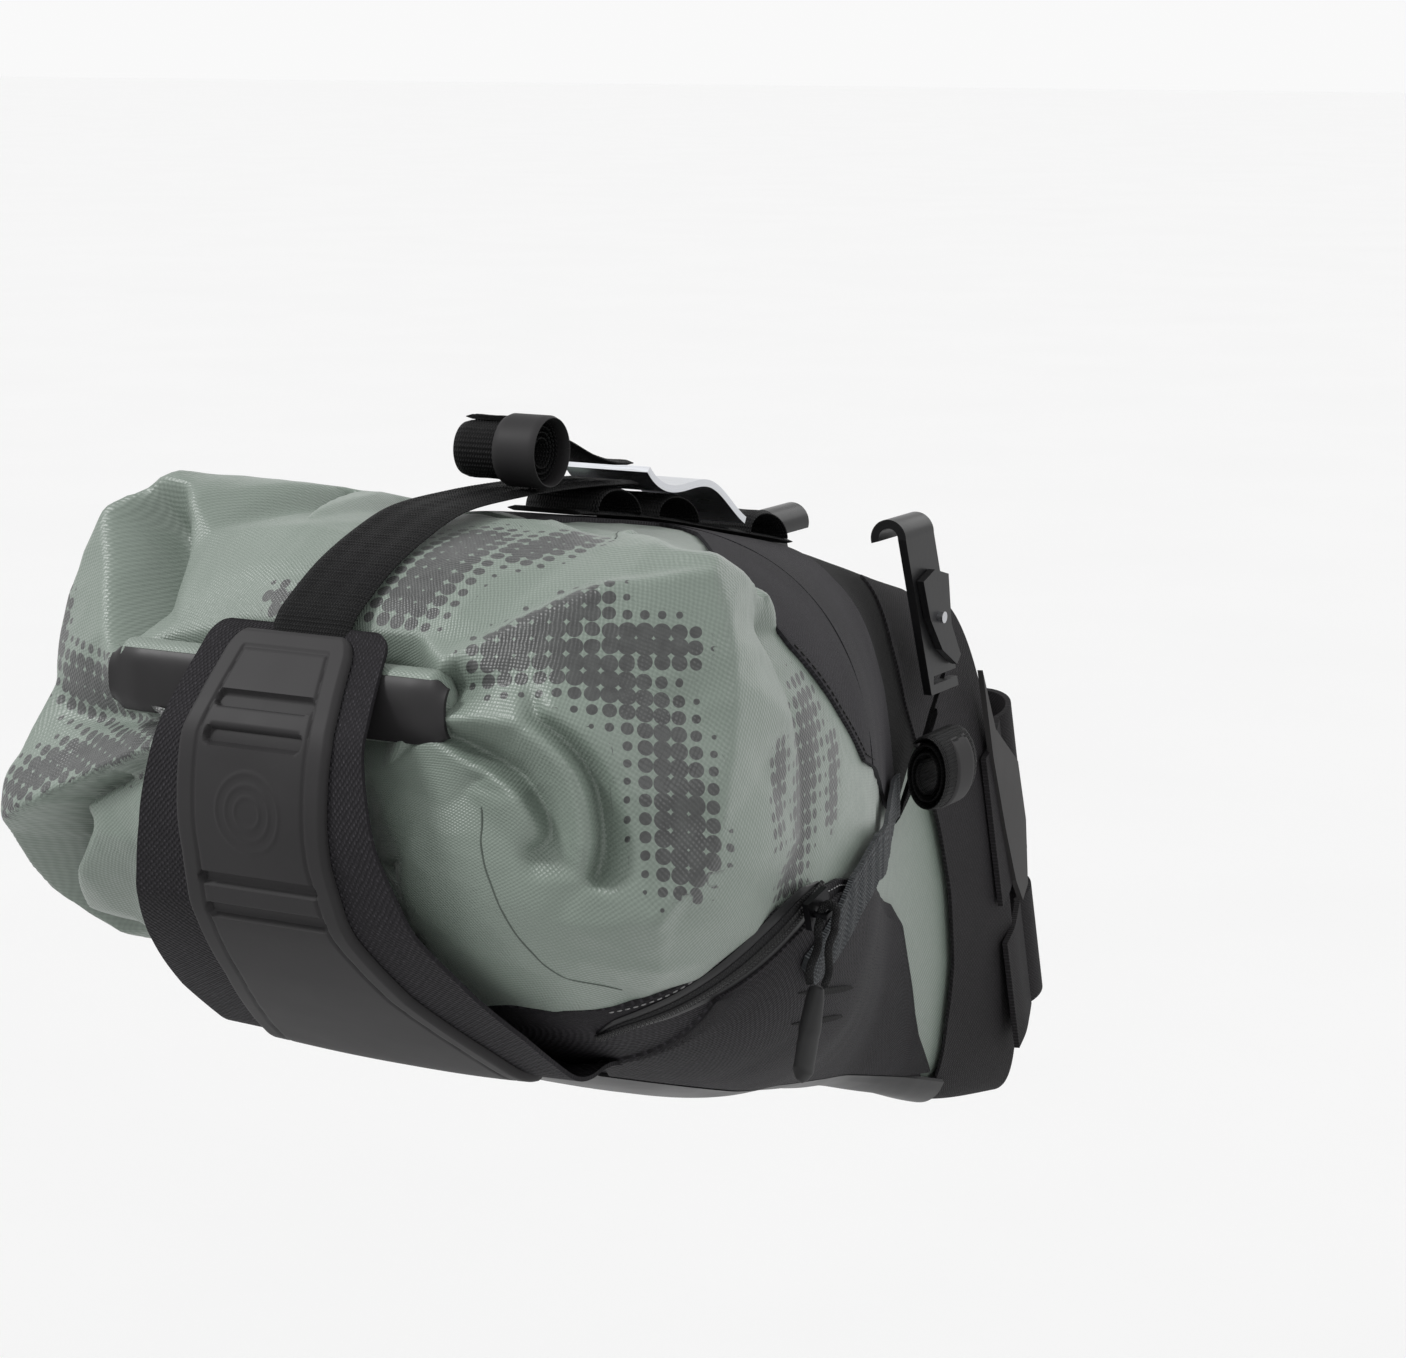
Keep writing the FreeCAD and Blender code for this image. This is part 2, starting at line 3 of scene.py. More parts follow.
import bmesh
import bpy
import numpy as np
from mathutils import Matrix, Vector, geometry, noise
from mathutils.bvhtree import BVHTree


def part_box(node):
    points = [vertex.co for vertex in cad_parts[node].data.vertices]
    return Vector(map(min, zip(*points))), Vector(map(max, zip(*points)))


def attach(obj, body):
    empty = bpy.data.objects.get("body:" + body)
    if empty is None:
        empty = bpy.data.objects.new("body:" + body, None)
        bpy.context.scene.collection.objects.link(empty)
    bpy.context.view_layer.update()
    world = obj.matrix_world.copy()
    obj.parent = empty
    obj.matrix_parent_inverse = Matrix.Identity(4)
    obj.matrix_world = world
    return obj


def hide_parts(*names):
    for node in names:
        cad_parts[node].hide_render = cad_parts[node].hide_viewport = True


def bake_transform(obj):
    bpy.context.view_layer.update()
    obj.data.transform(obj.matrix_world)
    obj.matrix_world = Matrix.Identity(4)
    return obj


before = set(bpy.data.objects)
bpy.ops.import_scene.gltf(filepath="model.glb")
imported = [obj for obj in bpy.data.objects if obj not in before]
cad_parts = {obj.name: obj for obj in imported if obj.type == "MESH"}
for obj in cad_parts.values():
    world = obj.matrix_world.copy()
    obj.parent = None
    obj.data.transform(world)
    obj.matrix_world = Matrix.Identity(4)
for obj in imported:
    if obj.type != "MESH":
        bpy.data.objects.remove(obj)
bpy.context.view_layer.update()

# Lengths below are in millimetres, in the CAD frame, and become metres when a mesh is made.
MM = 0.001
POST_TILT = math.radians(16.5)
BAG_FRONT = -27.0
POWER = 2.7

# Dry bag sections: (y, half width, lowest z, highest z)
STATIONS = np.array([
    (-428, 105, 60, 141), (-410, 104, 41, 157), (-385, 102, 23, 165), (-345, 101, 4, 164),
    (-290, 91, -17, 157), (-230, 66, -33, 145), (-180, 43, -47, 134), (-140, 27, -58, 123),
    (-100, 20.5, -72, 111), (-50, 19, -90, 97), (15, 17, -104, 80)], float)
JOIN_Y = -330.0                       # the sculpted tail starts at this station
TAIL_HEART = np.array([0.0, -300.0, 95.0])
COLUMNS = 480
BODY_ROWS = 96
TAIL_ROWS = 176

X_AXIS = (1, 0, 0)
WELD_DISTANCE = 1e-7                  # metres
WEB_WIDTH = 25.0
WEB_THICKNESS = 1.5
ROLLED_WEB = 1.35                     # thickness of a turn in a rolled strap


# ---- numeric helpers ----------------------------------------------------
def hermite(xs, ys, x):
    """Monotone-limited cubic through sorted knots."""
    h = np.diff(xs)
    d = np.diff(ys) / h
    m = np.zeros_like(ys)
    m[0], m[-1] = d[0], d[-1]
    same = d[:-1] * d[1:] > 0
    w1, w2 = 2 * h[1:] + h[:-1], h[1:] + 2 * h[:-1]
    before, after = (np.where(slope == 0, 1, slope) for slope in (d[:-1], d[1:]))
    m[1:-1] = np.where(same, (w1 + w2) / (w1 / before + w2 / after), 0)
    k = np.clip(np.searchsorted(xs, x) - 1, 0, len(h) - 1)
    t = np.clip((x - xs[k]) / h[k], 0, 1)
    return ((1 + 2 * t) * (1 - t) ** 2 * ys[k] + t * (1 - t) ** 2 * h[k] * m[k]
            + t * t * (3 - 2 * t) * ys[k + 1] + t * t * (t - 1) * h[k] * m[k + 1])


def form(y, angle, offset=0.0):
    """Point of the dry bag's plain form at a station and an angle round it."""
    y = np.asarray(y, float)
    w, low, high = (hermite(STATIONS[:, 0], STATIONS[:, k], y) for k in (1, 2, 3))
    c, s = np.cos(angle), np.sin(angle)
    x = np.sign(c) * np.abs(c) ** (2 / POWER) * (w + offset)
    z = (low + high) / 2 + np.sign(s) * np.abs(s) ** (2 / POWER) * ((high - low) / 2 + offset)
    return np.stack(np.broadcast_arrays(x, y, z), -1)


def smoothstep(low, high, value):
    t = np.clip((value - low) / (high - low), 0, 1)
    return t * t * (3 - 2 * t)


def run_length(points):
    """Distance covered along a line at each of its points."""
    return np.concatenate([[0], np.cumsum(np.linalg.norm(np.diff(points, axis=0), axis=1))])


def sample(values, run, at):
    """Values given at a line's points, read at other distances along it."""
    return np.stack([np.interp(at, run, column) for column in values.T], -1)


def unit(vectors):
    return vectors / np.linalg.norm(vectors, axis=-1, keepdims=True)


def corner_trim(distance, reach, depth):
    """How far a rounded corner pulls an edge in, at a distance from its end."""
    share = np.clip(distance / reach, 0, 1)
    return depth * (1 - np.sqrt(1 - (1 - share) ** 2))


def catmull(points, count):
    """A smooth run of points through given ones, evenly spaced along it."""
    p = np.asarray(points, float)
    p = np.vstack([2 * p[0] - p[1], p, 2 * p[-1] - p[-2]])
    fine = []
    for a, b, c, d in zip(p, p[1:], p[2:], p[3:]):
        t = np.linspace(0, 1, 24, endpoint=False)[:, None]
        fine.append(0.5 * (2 * b + (c - a) * t + (2 * a - 5 * b + 4 * c - d) * t ** 2
                           + (3 * b - a - 3 * c + d) * t ** 3))
    fine = np.vstack(fine + [p[-2][None]])
    run = run_length(fine)
    return sample(fine, run, np.linspace(0, run[-1], count))


def segment_distance(points, line):
    """Distance from each point to a polyline."""
    best = np.full(len(points), 1e9)
    for a, b in zip(line, line[1:]):
        ab = b - a
        t = np.clip(((points - a) @ ab) / (ab @ ab), 0, 1)
        best = np.minimum(best, np.linalg.norm(points - a - t[:, None] * ab, axis=1))
    return best


def grid_quads(rows, columns, closed=False):
    """Faces of a rows x columns grid of vertices; closed joins the last column to the first."""
    r, c = np.meshgrid(np.arange(rows - 1), np.arange(columns if closed else columns - 1), indexing="ij")
    n = (c + 1) % columns
    corners = [r * columns + c, r * columns + n, (r + 1) * columns + n, (r + 1) * columns + c]
    return np.stack(corners, -1).reshape(-1, 4)


def tube_faces(rows, ring):
    """Faces of a stack of rings, capped at both ends."""
    faces = grid_quads(rows, ring, closed=True).tolist()
    faces.append(list(range(ring))[::-1])
    faces.append([(rows - 1) * ring + c for c in range(ring)])
    return faces


def rows_normals(grid, closed=False):
    """Unit normals of a grid of points."""
    if closed:
        across = np.roll(grid, -1, 1) - np.roll(grid, 1, 1)
    else:
        across = np.gradient(grid, axis=1)
    along = np.gradient(grid, axis=0)
    n = np.cross(along, across)
    return n / np.maximum(np.linalg.norm(n, axis=-1, keepdims=True), 1e-9)


# ---- making pieces --------------------------------------------------------
def add_mesh(name, points, faces, material, uv=None):
    """A mesh object from millimetre points; uv is one pair per point, in millimetres."""
    mesh = bpy.data.meshes.new(name)
    mesh.from_pydata((np.asarray(points, float) * MM).tolist(), [], [list(map(int, f)) for f in faces])
    if uv is not None:
        layer = mesh.uv_layers.new(name="UVMap")
        index = np.zeros(len(mesh.loops), int)
        mesh.loops.foreach_get("vertex_index", index)
        layer.data.foreach_set("uv", (np.asarray(uv, float)[index] * MM).ravel())
    mesh.polygons.foreach_set("use_smooth", [True] * len(mesh.polygons))
    mesh.update()
    obj = bpy.data.objects.new(name, mesh)
    bpy.context.scene.collection.objects.link(obj)
    mesh.materials.append(material)
    return obj


def clean_faces(obj, sharp=None, weld=False):
    """Point the faces outwards; sharp, in degrees, is where an edge between two faces stays crisp."""
    mesh = bmesh.new()
    mesh.from_mesh(obj.data)
    if weld:
        bmesh.ops.remove_doubles(mesh, verts=mesh.verts, dist=WELD_DISTANCE)
    bmesh.ops.recalc_face_normals(mesh, faces=mesh.faces)
    mesh.to_mesh(obj.data)
    mesh.free()
    if sharp:
        obj.data.set_sharp_from_angle(angle=math.radians(sharp))


def finish_piece(obj, body, slot, *nodes):
    """Attach a piece to the body it rides on, or only bake it in place when given a fold, and hide the CAD nodes
    it stands for; the slot argument is not used.
    """
    if isinstance(body, tuple):
        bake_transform(obj)
    else:
        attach(obj, body)
    if nodes:
        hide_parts(*nodes)
    return obj


# ---- materials --------------------------------------------------------------
class Nodes:
    """Small helper to build a node material."""

    def __init__(self, name):
        self.material = bpy.data.materials.new(name)
        self.material.use_nodes = True
        self.tree = self.material.node_tree
        self.bsdf = self.tree.nodes["Principled BSDF"]

    def add(self, kind, inputs=(), **settings):
        node = self.tree.nodes.new(kind)
        for key, value in settings.items():
            setattr(node, key, value)
        for socket, value in dict(inputs).items():
            self.put(node.inputs[socket], value)
        return node

    def put(self, socket, value):
        if isinstance(value, bpy.types.NodeSocket):
            self.tree.links.new(value, socket)
        else:
            socket.default_value = value

    def math(self, operation, a, b=0.0, clamp=False):
        node = self.add("ShaderNodeMath", {0: a, 1: b}, operation=operation, use_clamp=clamp)
        return node.outputs[0]

    def mix(self, factor, a, b, blend="MIX"):
        node = self.add("ShaderNodeMix", data_type="RGBA", blend_type=blend)
        self.put(node.inputs["Factor"], factor)
        self.put(node.inputs["A"], a)
        self.put(node.inputs["B"], b)
        return node.outputs["Result"]

    def ramp(self, value, low, high, to_low=0.0, to_high=1.0):
        node = self.add("ShaderNodeMapRange", {"Value": value, "From Min": low, "From Max": high,
                                               "To Min": to_low, "To Max": to_high})
        return node.outputs["Result"]

    def noise(self, coordinates, scale, detail=3.0, rough=0.55):
        node = self.add("ShaderNodeTexNoise", {"Vector": coordinates, "Scale": scale, "Detail": detail,
                                               "Roughness": rough})
        return node.outputs["Fac"]

    def bump(self, height, distance, strength=1.0, normal=None):
        node = self.add("ShaderNodeBump", {"Height": height, "Distance": distance, "Strength": strength})
        if normal is not None:
            self.put(node.inputs["Normal"], normal)
        return node.outputs["Normal"]

    def finish(self, colour, roughness, normal=None, **extra):
        self.put(self.bsdf.inputs["Base Color"], colour)
        self.put(self.bsdf.inputs["Roughness"], roughness)
        if normal is not None:
            self.put(self.bsdf.inputs["Normal"], normal)
        for key, value in extra.items():
            self.put(self.bsdf.inputs[key.replace("_", " ")], value)
        return self.material


def rgb(r, g, b):
    """Display colour 0-255 to the linear colour of a node."""
    def linear(v):
        v /= 255
        return v / 12.92 if v <= 0.04045 else ((v + 0.055) / 1.055) ** 2.4
    return (linear(r), linear(g), linear(b), 1.0)


def weave_height(n, pitch, uv=None):
    """Plain weave: a chequer of rounded threads, pitch in millimetres."""
    if uv is None:
        uv = n.add("ShaderNodeTexCoord").outputs["UV"]
    drift = n.add("ShaderNodeTexNoise", {"Vector": uv, "Scale": 420.0, "Detail": 1.0}).outputs["Color"]
    drift = n.add("ShaderNodeVectorMath", {0: drift, 1: (pitch * MM,) * 3}, operation="MULTIPLY").outputs[0]
    uv = n.add("ShaderNodeVectorMath", {0: uv, 1: drift}, operation="ADD").outputs[0]
    xyz = n.add("ShaderNodeSeparateXYZ", {"Vector": uv})
    turn = 2 * math.pi / (2 * pitch * MM)
    u = n.math("SINE", n.math("MULTIPLY", xyz.outputs["X"], turn))
    v = n.math("SINE", n.math("MULTIPLY", xyz.outputs["Y"], turn))
    return n.math("MULTIPLY", u, v)


def green_material():
    """Coated sage fabric with a dot-pattern print."""
    n = Nodes("green_laminate")
    here = n.add("ShaderNodeTexCoord").outputs["Object"]
    weave = weave_height(n, 0.75)
    cloud = n.noise(here, 9.0, 2.0)
    fine = n.noise(here, 260.0, 4.0)
    base = n.mix(n.ramp(cloud, 0.3, 0.7), rgb(105, 115, 107), rgb(115, 126, 117))
    base = n.mix(n.ramp(weave, -1.0, 1.0, 0.0, 0.34), base, rgb(70, 81, 74))
    spot = n.add("ShaderNodeAttribute", attribute_name="print_uv").outputs["Vector"]
    size = n.add("ShaderNodeAttribute", attribute_name="print_size").outputs["Fac"]
    xyz = n.add("ShaderNodeSeparateXYZ", {"Vector": spot})
    du = n.math("SUBTRACT", n.math("FRACT", xyz.outputs["X"]), 0.5)
    dv = n.math("SUBTRACT", n.math("FRACT", xyz.outputs["Y"]), 0.5)
    away = n.math("SQRT", n.math("ADD", n.math("MULTIPLY", du, du), n.math("MULTIPLY", dv, dv)))
    rim = n.math("SUBTRACT", size, away)
    inked = n.ramp(rim, -0.015, 0.015)
    inked = n.math("MULTIPLY", inked, n.math("GREATER_THAN", size, 0.06))
    ink = n.mix(n.ramp(fine, 0.3, 0.7), rgb(46, 47, 47), rgb(62, 64, 63))
    colour = n.mix(inked, base, ink)
    rough = n.ramp(fine, 0.2, 0.8, 0.36, 0.48)
    normal = n.bump(weave, 0.00010, 0.7)
    normal = n.bump(fine, 0.00012, 0.35, normal)
    return n.finish(colour, rough, normal, Specular_IOR_Level=0.55, Sheen_Weight=0.12, Sheen_Roughness=0.4)


def canvas_material(name, dark, light, pitch=1.0, rough=0.72, strength=0.9):
    """Black laminated fabric with a coarse canvas weave and pale worn thread tops."""
    n = Nodes(name)
    here = n.add("ShaderNodeTexCoord").outputs["Object"]
    weave = weave_height(n, pitch)
    fine = n.noise(here, 900.0, 3.0)
    wear = n.noise(here, 14.0, 3.0)
    tops = n.math("MULTIPLY", n.ramp(weave, 0.1, 0.95), n.ramp(fine, 0.35, 0.75))
    colour = n.mix(tops, dark, light)
    colour = n.mix(n.ramp(wear, 0.35, 0.75, 0.0, 0.25), colour, light)
    normal = n.bump(weave, 0.00022, strength)
    normal = n.bump(fine, 0.00010, 0.3, normal)
    return n.finish(colour, rough, normal, Specular_IOR_Level=0.13)


def webbing_material(name, dark, light, rib=1.25):
    """Ribbed webbing: ribs across U, threads across V."""
    n = Nodes(name)
    uv = n.add("ShaderNodeTexCoord").outputs["UV"]
    xyz = n.add("ShaderNodeSeparateXYZ", {"Vector": uv})
    ribs = n.math("SINE", n.math("MULTIPLY", xyz.outputs["X"], 2 * math.pi / (rib * MM)))
    picks = n.math("SINE", n.math("ADD", n.math("MULTIPLY", xyz.outputs["Y"], 2 * math.pi / (0.9 * MM)),
                                  n.math("MULTIPLY", ribs, 1.4)))
    height = n.math("ADD", n.math("MULTIPLY", ribs, 0.45), n.math("MULTIPLY", picks, 0.55))
    fine = n.noise(uv, 1500.0, 2.0)
    colour = n.mix(n.math("MULTIPLY", n.ramp(height, -0.2, 1.0), n.ramp(fine, 0.3, 0.7)), dark, light)
    normal = n.bump(height, 0.00025, 0.9)
    return n.finish(colour, 0.6, normal, Specular_IOR_Level=0.12)


def rubber_material(name, dark, light, grain=700.0, rough=0.62):
    """Moulded rubber with a fine grain and faint scuffs."""
    n = Nodes(name)
    here = n.add("ShaderNodeTexCoord").outputs["Object"]
    fine = n.noise(here, grain, 3.0)
    scuff = n.noise(here, 22.0, 4.0)
    colour = n.mix(n.ramp(scuff, 0.35, 0.75), dark, light)
    roughness = n.ramp(scuff, 0.3, 0.8, rough - 0.07, rough + 0.08)
    return n.finish(colour, roughness, n.bump(fine, 0.00005, 0.5), Specular_IOR_Level=0.22)


def metal_material(name, tone, rough):
    """Brushed or coated metal with fine scratches."""
    n = Nodes(name)
    here = n.add("ShaderNodeTexCoord").outputs["Object"]
    streaks = n.add("ShaderNodeMapping", {"Vector": here, "Scale": (3.0, 90.0, 90.0)}).outputs[0]
    brushed = n.noise(streaks, 30.0, 4.0)
    roughness = n.ramp(brushed, 0.2, 0.8, rough - 0.06, rough + 0.12)
    return n.finish(tone, roughness, n.bump(brushed, 0.00004, 0.4), Metallic=1.0)


MATERIALS = {
    "green": green_material(),
    "canvas": canvas_material("black_laminate", rgb(22, 21, 23), rgb(62, 60, 64)),
    "collar": canvas_material("collar_laminate", rgb(34, 33, 35), rgb(68, 66, 71), 0.8, 0.8, 0.6),
    "pad": rubber_material("pad_rubber", rgb(34, 33, 34), rgb(43, 42, 43)),
    "guard": rubber_material("smooth_guard", rgb(18, 18, 19), rgb(26, 26, 27), 300.0, 0.45),
    "webbing": webbing_material("black_webbing", rgb(7, 7, 8), rgb(38, 38, 38)),
    "grey_webbing": webbing_material("grey_webbing", rgb(40, 42, 44), rgb(112, 115, 118)),
    "keeper": rubber_material("keeper_rubber", rgb(30, 29, 30), rgb(40, 39, 40)),
    "grip": rubber_material("grip_rubber", rgb(24, 24, 25), rgb(36, 36, 36)),
    "rubber_tab": rubber_material("rubber_tab", rgb(40, 39, 39), rgb(48, 47, 47)),
    "stiffener": rubber_material("stiffener_plastic", rgb(30, 29, 30), rgb(38, 37, 38), 260.0, 0.42),
    "plastic": rubber_material("zip_plastic", rgb(20, 20, 21), rgb(32, 32, 32), 500.0, 0.4),
    "hook": rubber_material("hook_plastic", rgb(16, 16, 17), rgb(28, 28, 29), 420.0, 0.33),
    "strap_cloth": canvas_material("strap_cloth", rgb(26, 25, 26), rgb(54, 52, 55), 0.7, 0.8, 0.5),
    "canvas_fine": canvas_material("nose_laminate", rgb(26, 25, 26), rgb(56, 54, 57), 0.9, 0.78, 0.6),
    # painted shade: near-black laminate laid where black fabric is in shade, in front of the collar under the
    # saddle and inside the pocket slots
    "painted_shade": canvas_material("painted_shade_laminate", rgb(12, 12, 12), rgb(26, 25, 26), 0.8, 0.8, 0.6),
    "seam": rubber_material("welded_seam", rgb(70, 77, 72), rgb(78, 85, 79)),
    "thread": canvas_material("stitch_thread", rgb(92, 92, 92), rgb(150, 150, 150), 0.4, 0.7, 0.6),
    "dark_thread": canvas_material("dark_thread", rgb(14, 14, 14), rgb(40, 40, 40), 0.4, 0.7, 0.6),
    "zip_tape": canvas_material("zip_tape_cloth", rgb(24, 24, 25), rgb(52, 52, 53), 0.6, 0.75, 0.6),
    "cord": canvas_material("pull_cord", rgb(16, 16, 17), rgb(66, 66, 66), 0.5, 0.7, 0.9),
    "aluminium": metal_material("hook_aluminium", rgb(206, 208, 212), 0.28),
    "dark_metal": metal_material("slider_metal", rgb(34, 34, 36), 0.38),
    "steel": metal_material("rivet_steel", rgb(186, 187, 190), 0.25),
}


# ---- the dry bag ------------------------------------------------------------
# Fold lines of the sculpted tail. Each has the depth of the hollow beside it, on the left of its
# direction when positive, on the right when negative; zero leaves the fold without a hollow.
TAIL_RUNS = [
    # right ear: upper ridge, outer edge, lower overhanging edge
    (10, [(43, -436, 143), (54, -429, 150), (73, -413, 161), (87, -405, 164), (101, -396, 166)]),
    (0, [(101, -396, 166), (107, -399, 150), (110, -403, 132), (111, -409, 112), (110, -415, 95), (104, -431,
                                                                                                   80)]),
    (-7, [(36, -442, 127), (52, -443, 129), (70, -444, 130)]),
    (15, [(70, -444, 130), (80, -444, 124), (86, -442, 116), (88, -440, 104), (86, -437, 94), (82, -433,
                                                                                               87)]),
    (0, [(76, -439, 133), (87, -436, 125), (95, -433, 112), (98, -431, 100), (98, -431, 90)]),
    (0, [(82, -433, 87), (95, -431, 84), (104, -431, 80)]),
    (0, [(43, -436, 143), (36, -442, 127)]),
    # face of the right ear
    (0, [(60, -435, 138), (74, -430, 140), (88, -420, 138), (98, -412, 132)]),
    (0, [(101, -426, 108), (106, -417, 104)]),
    # second pleat, and the hollow between the two
    (11, [(41, -441, 123), (53, -442, 118), (65, -442, 113), (70, -441, 107), (72, -439, 101), (68, -438,
                                                                                                97)]),
    # lower right: ridge beside the tongue and the full lobe under the pleats
    (0, [(54, -438, 113), (43, -442, 102), (33, -444, 90), (33, -441, 77), (34, -433, 64)]),
    (0, [(64, -439, 96), (72, -437, 80), (76, -427, 64)]),
    (0, [(90, -431, 76), (95, -416, 61)]),
    # top panel
    (0, [(0, -350, 168), (0, -398, 165), (0, -416, 158), (0, -427, 151), (0, -431, 144)]),
    (0, [(28, -360, 169), (28, -398, 165), (28, -416, 157), (30, -428, 147)]),
    (0, [(55, -360, 168), (54, -392, 163), (50, -411, 155)]),
    (5, [(78, -386, 169), (88, -390, 169), (99, -390, 168)]),
    (0, [(92, -350, 152), (97, -370, 160)]),
    (0, [(104, -360, 120), (106, -380, 110)]),
    # left ear: inner ridge, outer edge with its notch, lower face
    (0, [(-101, -396, 168), (-93, -404, 158), (-83, -417, 144), (-76, -427, 134), (-66, -436, 130),
          (-39, -447, 119)]),
    (0, [(-101, -396, 168), (-108, -404, 142), (-107, -411, 126), (-101, -421, 111)]),
    (6, [(-101, -421, 111), (-85, -427, 110), (-69, -432, 112), (-42, -444, 117)]),
    (0, [(-101, -421, 111), (-111, -430, 96), (-110, -435, 82)]),
    (-9, [(-110, -435, 82), (-95, -442, 90), (-78, -443, 97), (-56, -446, 108), (-42, -448, 114)]),
    (0, [(-110, -435, 82), (-113, -421, 66), (-110, -412, 55), (-96, -405, 44)]),
    (0, [(-57, -430, 101), (-68, -420, 94), (-80, -411, 80), (-89, -404, 62), (-91, -402, 48)]),
    (0, [(-76, -436, 84), (-88, -430, 68), (-97, -416, 54)]),
    (0, [(-50, -444, 98), (-58, -438, 84), (-68, -428, 68), (-78, -416, 54)]),
    # left top corner: raised crest and the deep recess behind the roll
    (0, [(-101, -396, 168), (-84, -382, 179)]),
    (0, [(-84, -382, 179), (-74, -391, 174), (-67, -399, 163), (-63, -408, 154), (-61, -416, 144)]),
    (0, [(-77, -384, 158), (-71, -388, 151), (-67, -396, 143), (-63, -406, 136)]),
    (0, [(-84, -382, 179), (-66, -362, 174), (-30, -352, 171)]),
    (0, [(-30, -398, 168), (-30, -416, 158), (-32, -428, 144)]),
    (0, [(-60, -398, 164), (-55, -418, 150), (-52, -428, 140)]),
    (0, [(-95, -350, 156), (-100, -372, 160)]),
    # behind the roll and down the middle, under the tongue
    (0, [(-52, -428, 130), (0, -427, 130), (40, -430, 133)]),
    (0, [(-30, -441, 112), (0, -440, 110), (26, -441, 112)]),
    (0, [(-34, -440, 85), (0, -440, 85), (28, -438, 87)]),
    (0, [(-40, -430, 64), (0, -430, 62), (30, -431, 66)]),
]
HOLLOW_GAP = 3.2              # from a fold's crest to the bottom of the hollow beside it


def tail_directions(points):
    """Azimuthal map of points about the tail's heart: (u, v) plane and distance."""
    rel = points - TAIL_HEART
    radius = np.linalg.norm(rel, axis=-1)
    polar = np.arccos(np.clip(-rel[..., 1] / radius, -1, 1))
    turn = np.arctan2(rel[..., 2], rel[..., 0])
    return np.stack([polar * np.cos(turn), polar * np.sin(turn)], -1), radius


def tail_triangles():
    """Triangulated fold lines, hollows and plain ring points, in the tail's azimuthal map."""
    flat, radius, edges = [], [], []

    def add_run(uv, r):
        start = len(flat)
        flat.extend(uv)
        radius.extend(r)
        edges.extend((start + i, start + i + 1) for i in range(len(uv) - 1))

    for depth, run in TAIL_RUNS:
        points = catmull(run, 6 * (len(run) - 1) + 1)
        uv, r = tail_directions(points)
        add_run(uv, r)
        if depth:
            tangent = unit(np.gradient(uv, axis=0))
            left = np.stack([-tangent[:, 1], tangent[:, 0]], -1)
            share = np.linspace(0, 1, len(uv))
            fade = np.sqrt(np.sin(np.pi * np.clip(share * 0.9 + 0.05, 0, 1)))
            beside = uv + left * (np.sign(depth) * HOLLOW_GAP / r)[:, None]
            add_run(beside[1:-1], (r - abs(depth) * fade)[1:-1])
    for y in (JOIN_Y, -348.0):
        uv, r = tail_directions(form(y, np.linspace(0, 2 * math.pi, 48, endpoint=False)))
        flat.extend(uv)
        radius.extend(r)
    for y, low_share in ((-366.0, -0.35), (-384.0, -0.55), (-400.0, -0.75)):
        ring = form(y, np.linspace(0, 2 * math.pi, 48, endpoint=False))
        _, low, high = section(y)
        share = (ring[:, 2] - (low + high) / 2) / ((high - low) / 2)
        uv, r = tail_directions(ring[share < low_share])
        flat.extend(uv)
        radius.extend(r)
    radius = np.array(radius)
    flat = np.array(flat)
    verts, _, faces, sources = geometry.delaunay_2d_cdt([Vector(p) for p in flat], edges, [], 0, 1e-4,
                                                        True)[:4]
    verts = np.array([tuple(v) for v in verts])
    height = np.zeros(len(verts))
    for i, origin in enumerate(sources):
        if origin:
            height[i] = radius[origin[0]]
        else:
            near = np.argsort(np.linalg.norm(flat - verts[i], axis=1))[:2]
            height[i] = radius[near].mean()
    return verts, height, np.array([list(f)[:3] for f in faces])


def interpolate_tail(flat, verts, height, triangles):
    """Distance from the heart at each mapped point."""
    result = np.full(len(flat), np.nan)
    order = np.argsort(flat[:, 0])
    sorted_u = flat[order, 0]
    for a, b, c in triangles:
        pa, pb, pc = verts[a], verts[b], verts[c]
        area = (pb[0] - pa[0]) * (pc[1] - pa[1]) - (pc[0] - pa[0]) * (pb[1] - pa[1])
        if abs(area) < 1e-12:
            continue
        low, high = np.minimum(np.minimum(pa, pb), pc) - 1e-6, np.maximum(np.maximum(pa, pb), pc) + 1e-6
        first, last = np.searchsorted(sorted_u, (low[0], high[0]))
        index = order[first:last]
        q = flat[index]
        keep = (q[:, 1] >= low[1]) & (q[:, 1] <= high[1])
        index, q = index[keep], q[keep]
        wb = ((q[:, 0] - pa[0]) * (pc[1] - pa[1]) - (pc[0] - pa[0]) * (q[:, 1] - pa[1])) / area
        wc = ((pb[0] - pa[0]) * (q[:, 1] - pa[1]) - (q[:, 0] - pa[0]) * (pb[1] - pa[1])) / area
        wa = 1 - wb - wc
        ok = (wa > -1e-6) & (wb > -1e-6) & (wc > -1e-6)
        result[index[ok]] = (wa * height[a] + wb * height[b] + wc * height[c])[ok]
    return result


def smooth_grid(grid, times, weight):
    """Laplacian smoothing of a grid that is closed round its columns."""
    for _ in range(times):
        around = (np.roll(grid, 1, 1) + np.roll(grid, -1, 1)) / 2
        down = grid.copy()
        down[1:-1] = (grid[2:] + grid[:-2]) / 2
        target = (around + down) / 2
        grid[1:-1] += weight * (target - grid)[1:-1]
    return grid


def section(y):
    return [hermite(STATIONS[:, 0], STATIONS[:, k], np.asarray(y, float)) for k in (1, 2, 3)]


